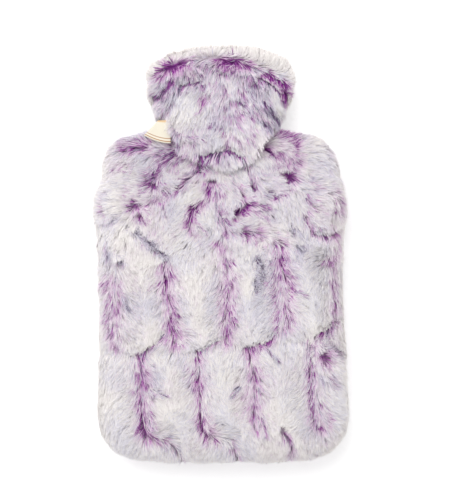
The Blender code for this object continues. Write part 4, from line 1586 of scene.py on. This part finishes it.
class Fibre:
    """The pile's fibre: its dye runs out from root to tip, by the tone that its map says."""

    def __init__(self) -> None:
        """Make the node group that mixes the tones."""
        self.group = self.make_group()

    def make_group(self) -> bpy.types.ShaderNodeTree:
        """The dyed fibre's colour from its tone and from how far out along the strand it is.

        Returns:
            The group, with the inputs Tone and Reach and the output Color.
        """
        group = bpy.data.node_groups.new("dyed_fibre", "ShaderNodeTree")
        group.interface.new_socket("Tone", in_out="INPUT", socket_type="NodeSocketFloat")
        group.interface.new_socket("Reach", in_out="INPUT", socket_type="NodeSocketFloat")
        group.interface.new_socket("Color", in_out="OUTPUT", socket_type="NodeSocketColor")
        source = add_node(group, "NodeGroupInput").outputs
        root, middle, tip = (
            add_colours(group, source["Tone"], [(tone.place, getattr(tone, part)) for tone in TONES])
            for part in ("root", "middle", "tip")
        )
        mixed = root
        for further, low, high in ((middle, 0.05, 0.45), (tip, 0.40, 0.95)):
            limits = {"From Min": low, "From Max": high, "Value": source["Reach"]}
            share = add_node(group, "ShaderNodeMapRange", limits, interpolation_type="SMOOTHSTEP")
            colours = {"Factor": share.outputs["Result"], "A": mixed, "B": further}
            mixed = add_node(group, "ShaderNodeMix", colours, data_type="RGBA").outputs["Result"]
        add_node(group, "NodeGroupOutput", {"Color": mixed})
        return group

    def dyed(self, shader: bpy.types.Node, inputs: dict[str | int, object]) -> None:
        """Give a finish the dyed fibre's colour, from what feeds the group's inputs."""
        group = add_node(shader.id_data, "ShaderNodeGroup", inputs, node_tree=self.group)
        feed(shader, {"Base Color": group.outputs["Color"]})

    def pile(self) -> bpy.types.Material:
        """The strands' material, which reads their own map.

        Returns:
            The material.
        """
        values = {"Roughness": 0.75, "Specular IOR Level": 0.12, "Sheen Weight": 0.12, "Sheen Roughness": 0.5}
        material, shader = new_material("pile_fibre", values)
        split = add_own_map(material.node_tree, "OFBake")[1].outputs
        self.dyed(shader, {"Tone": split["X"], "Reach": split["Y"]})
        return material

    def backing(self) -> bpy.types.Material:
        """The knitted backing's material: the roots' dye over it, and the knit as fine relief.

        Returns:
            The material.
        """
        material, shader = new_material("knitted_backing", {"Roughness": 0.9})
        tree = material.node_tree
        paint = add_node(tree, "ShaderNodeAttribute", attribute_name="dye").outputs["Fac"]
        place = add_node(tree, "ShaderNodeTexCoord").outputs["Object"]
        fine = {"Scale": 420.0, "Detail": 3.0, "Vector": place}
        knit = add_node(tree, "ShaderNodeTexNoise", fine).outputs["Fac"]
        tone = add_node(tree, "ShaderNodeMath", {0: paint, 1: 0.48, 2: 0.05}, operation="MULTIPLY_ADD")
        uneven = {0: knit, 1: 0.12, 2: tone.outputs["Value"]}
        tone = add_node(tree, "ShaderNodeMath", uneven, operation="MULTIPLY_ADD")
        self.dyed(shader, {"Reach": 0.12, "Tone": tone.outputs["Value"]})
        add_relief(shader, knit, strength=0.4, distance=0.0005)
        return material


@dataclass
class RibbonTab:
    """The folded ribbon tab: out from the collar's edge, over and back under itself."""

    root_x: float = -0.0435
    top_y: float = 0.1168
    foot_y: float = 0.0967
    root_z: float = 0.0520
    length_top: float = 0.0104
    length_foot: float = 0.0228
    fall: float = 0.0010
    slant: float = 0.0066
    gap: float = 0.0007
    thickness: float = 0.0005
    wave: float = 0.0006

    @property
    def flat(self) -> tuple[float, float]:
        """The strip's width and length before it is folded."""
        return self.top_y - self.foot_y, self.length_top + self.length_foot

    def build(self, material: bpy.types.Material) -> bpy.types.Object:
        """A strip whose run goes out, round a half circle at its fold and back, wider at its foot.

        Args:
            material: The ribbon's finish.

        Returns:
            The piece.
        """
        run = np.linspace(0.0, 1.0, 17)
        fold = np.linspace(0.0, math.pi, 9)[1:-1]
        out = np.concatenate([run, np.ones(len(fold)), run[::-1]])
        turn = np.concatenate([np.zeros(len(run)), fold, np.full(len(run), math.pi)])
        down = np.linspace(0.0, 1.0, 21)[:, None]
        length = self.length_top + (self.length_foot - self.length_top) * down
        x = self.root_x - length * out - self.gap * np.sin(turn)
        y = self.top_y + (self.foot_y - self.top_y) * down + self.slant * down * out**2
        wave = self.wave * np.sin(out * 5.0 + down * 3.0)
        z = self.root_z - self.fall * out**2 + wave + self.gap * np.cos(turn)
        faces = grid_faces(*x.shape)
        mesh = new_mesh("ribbon_tab", np.stack([x, y, z], axis=2).reshape(-1, 3), faces)
        u, v = np.broadcast_arrays(np.linspace(0.0, 1.0, len(out)), down)
        add_map(mesh, "ribbon", np.stack([u.ravel(), v.ravel()], axis=1)[faces.ravel()])
        piece = add_piece(mesh, material)
        thicken(piece, "ribbon", self.thickness, 0.0)
        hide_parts("label")
        return piece


@dataclass(frozen=True)
class SatinRibbon:
    """Woven satin: cream, an ochre band along its upper edge and two thin lines near its lower one."""

    cream: tuple[int, int, int] = (229, 222, 204)
    ochre: tuple[int, int, int] = (220, 188, 146)
    brown: tuple[int, int, int] = (172, 118, 74)

    def material(self) -> bpy.types.Material:
        """Bands are laid across the ribbon by its own map, and the weave is a fine wave.

        Returns:
            The material.
        """
        material, shader = new_material("satin_ribbon", {"Roughness": 0.45, "Sheen Weight": 0.2})
        tree = material.node_tree
        place, split = add_own_map(tree, "ribbon")
        bands = [
            (0.0, self.ochre), (0.10, self.cream), (0.78, self.brown), (0.81, self.cream),
            (0.90, self.brown), (0.94, self.cream),
        ]
        feed(shader, {"Base Color": add_colours(tree, split.outputs["Y"], bands, "CONSTANT")})
        weave = add_node(tree, "ShaderNodeTexWave", {"Scale": 60.0, "Vector": place.outputs["UV"]})
        add_relief(shader, weave.outputs["Fac"], strength=0.15, distance=0.0002)
        return material


@dataclass
class Studio:
    """A pale floor, soft light from all round and a large soft light, and a camera that looks down."""

    metres_per_pixel: float = 0.00088
    image_height: int = 500
    centre: tuple[float, float] = (0.0040, 0.0040)
    level: float = 0.035
    lens: float = 120.0
    sensor: float = 36.0
    floor_half: float = 3.0
    sky: float = 0.73
    lamp_place: tuple[float, float, float] = (-0.35, 0.65, 1.40)
    lamp_size: float = 1.2
    lamp_power: float = 13.6

    def build(self) -> None:
        """Set up the studio."""
        self.camera()
        self.floor()
        self.light()

    def camera(self) -> None:
        """A camera straight above, as far away as makes its frame the photograph's."""
        data = bpy.data.cameras.new("camera")
        data.lens = self.lens
        data.sensor_width = self.sensor
        distance = self.lens / self.sensor * self.metres_per_pixel * self.image_height
        camera = place_object("camera", data)
        camera.location = (*self.centre, self.level + distance)
        bpy.context.scene.camera = camera

    def floor(self) -> None:
        """A wide pale floor."""
        corners = np.array([(-1, -1, 0), (1, -1, 0), (1, 1, 0), (-1, 1, 0)]) * self.floor_half
        mesh = new_mesh("floor", corners, np.array([[0, 1, 2, 3]]))
        material, _ = new_material("pale_floor", {
            "Roughness": 0.9,
            "Base Color": (0.92, 0.92, 0.92, 1.0),
            "Specular IOR Level": 0.0,
            "Emission Color": (1.0, 1.0, 1.0, 1.0),
            "Emission Strength": 0.30,
        })
        mesh.materials.append(material)
        place_object("floor", mesh)

    def light(self) -> None:
        """A pale dome, and one large soft light from the upper left."""
        world = bpy.data.worlds.new("studio")
        world.use_nodes = True
        feed(world.node_tree.nodes["Background"], {"Color": (1.0, 1.0, 1.0, 1.0), "Strength": self.sky})
        bpy.context.scene.world = world
        data = bpy.data.lights.new("softbox", "AREA")
        data.shape = "DISK"
        data.size = self.lamp_size
        data.energy = self.lamp_power
        lamp = place_object("softbox", data)
        lamp.location = self.lamp_place
        x, y, z = lamp.location
        lamp.rotation_euler = (math.atan2(math.hypot(x, y), z), 0.0, math.atan2(x, -y))
        bpy.context.scene.view_settings.view_transform = "Standard"


@dataclass
class Cover:
    """The whole cover.

    The front's pile is in three pieces, which meet at the heights in front_cuts.
    """

    front_piles: tuple[str, ...] = ("front_pile_upper", "front_pile_tiles", "front_pile_foot")
    front_cuts: tuple[float, ...] = (1.0, 0.0076, -0.0890, -1.0)
    skin: Body = field(default_factory=lambda: Body(inset=PILE))
    collar: Collar = field(default_factory=Collar)

    def __post_init__(self) -> None:
        """Make the finishes, the combs and the panels' surfaces."""
        fibre = Fibre()
        self.fibre, self.backing = fibre.pile(), fibre.backing()
        self.front_comb, self.back_comb, self.collar_comb = Comb(), BackComb(), CollarComb()
        self.front = self.skin.sheet(Face.FRONT, FRONT_PANEL)
        self.back = self.skin.sheet(Face.BACK, BACK_PANEL)
        self.flap = self.collar.surface(COLLAR_PANEL)

    def build(self) -> None:
        """Build every piece."""
        front = self.cloth("front_backing", self.front, self.front_comb)
        back = self.cloth("back_backing", self.back, self.back_comb)
        flap = self.cloth("collar_backing", self.flap, self.collar_comb)
        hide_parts("front_panel")
        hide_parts("back_panel")
        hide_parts("collar")
        front_pile = self.front_pile()
        back_pile = self.back_pile()
        collar_pile = self.collar_pile()
        tab = RibbonTab()
        ribbon = tab.build(SatinRibbon().material())

    def cloth(self, name: str, surface: Surface, comb: Comb) -> bpy.types.Object:
        """A panel's backing, with the dye of its pile's roots.

        Args:
            name: The piece's name.
            surface: The backing's outer side.
            comb: How its pile is combed.

        Returns:
            The piece.
        """
        dye = comb.at(*surface.places()).dye
        if surface is self.flap:
            # The collar's dye fades where it turns away from facing up: painted highlight on its crest and
            # sides.
            dye = dye * self.collar.showing(surface.normals()[:, :, 2], surface.points[:, :, 2]).ravel()
        return add_backing(name, surface, dye, self.backing)

    def sown(self, surface: Surface, panel: Panel) -> Roots:
        """Roots on one of the body's faces, all but where the collar covers it."""
        roots = surface.sow(panel)
        return roots.kept(roots.y < PILE_TOP_Y)

    def front_pile(self) -> list[bpy.types.Object]:
        """The front's pile, in pieces from the neck to the foot.

        Returns:
            The pieces.
        """
        roots = self.sown(self.front, FRONT_PANEL)
        comb = self.front_comb.at(roots.x, roots.y)
        # Less dye where the front turns away over its rounded edge: painted highlight on the rim.
        comb.dye *= clamp(0.2 + roots.normal[:, 2] * 1.5)
        pieces = []
        limits = zip(self.front_piles, self.front_cuts, self.front_cuts[1:])
        for seed, (name, high, low) in enumerate(limits, start=21):
            mine = (roots.y >= low) & (roots.y < high)
            pieces.append(Pile(name, seed).grow(roots.kept(mine), comb.kept(mine), self.fibre))
        return pieces

    def back_pile(self) -> bpy.types.Object:
        """The back's pile, pressed where the cover lies on it.

        Returns:
            The piece.
        """
        roots = self.sown(self.back, BACK_PANEL)
        comb = self.back_comb.at(roots.x, roots.y)
        return Pile("back_pile", 31, width=0.0010, tuft=0.0019).grow(roots, comb, self.fibre)

    def collar_pile(self) -> bpy.types.Object:
        """The collar's pile, over its crest and down its flap.

        Returns:
            The piece.
        """
        roots = self.flap.sow(COLLAR_PANEL)
        comb = self.collar_comb.at(roots.x, roots.y)
        # Dye and tone fade where the collar turns away from facing up: painted highlight on its crest and
        # sides.
        showing = self.collar.showing(roots.normal[:, 2], roots.place[:, 2])
        comb.dye *= showing
        comb.tone *= showing
        return Pile("collar_pile", 41, wander=0.11).grow(roots, comb, self.fibre)


def main() -> None:
    """Build the cover and its studio."""
    logging.basicConfig(level=logging.INFO, format="%(name)s: %(message)s")
    Studio().build()
    Cover().build()


if __name__ == "__main__":
    main()
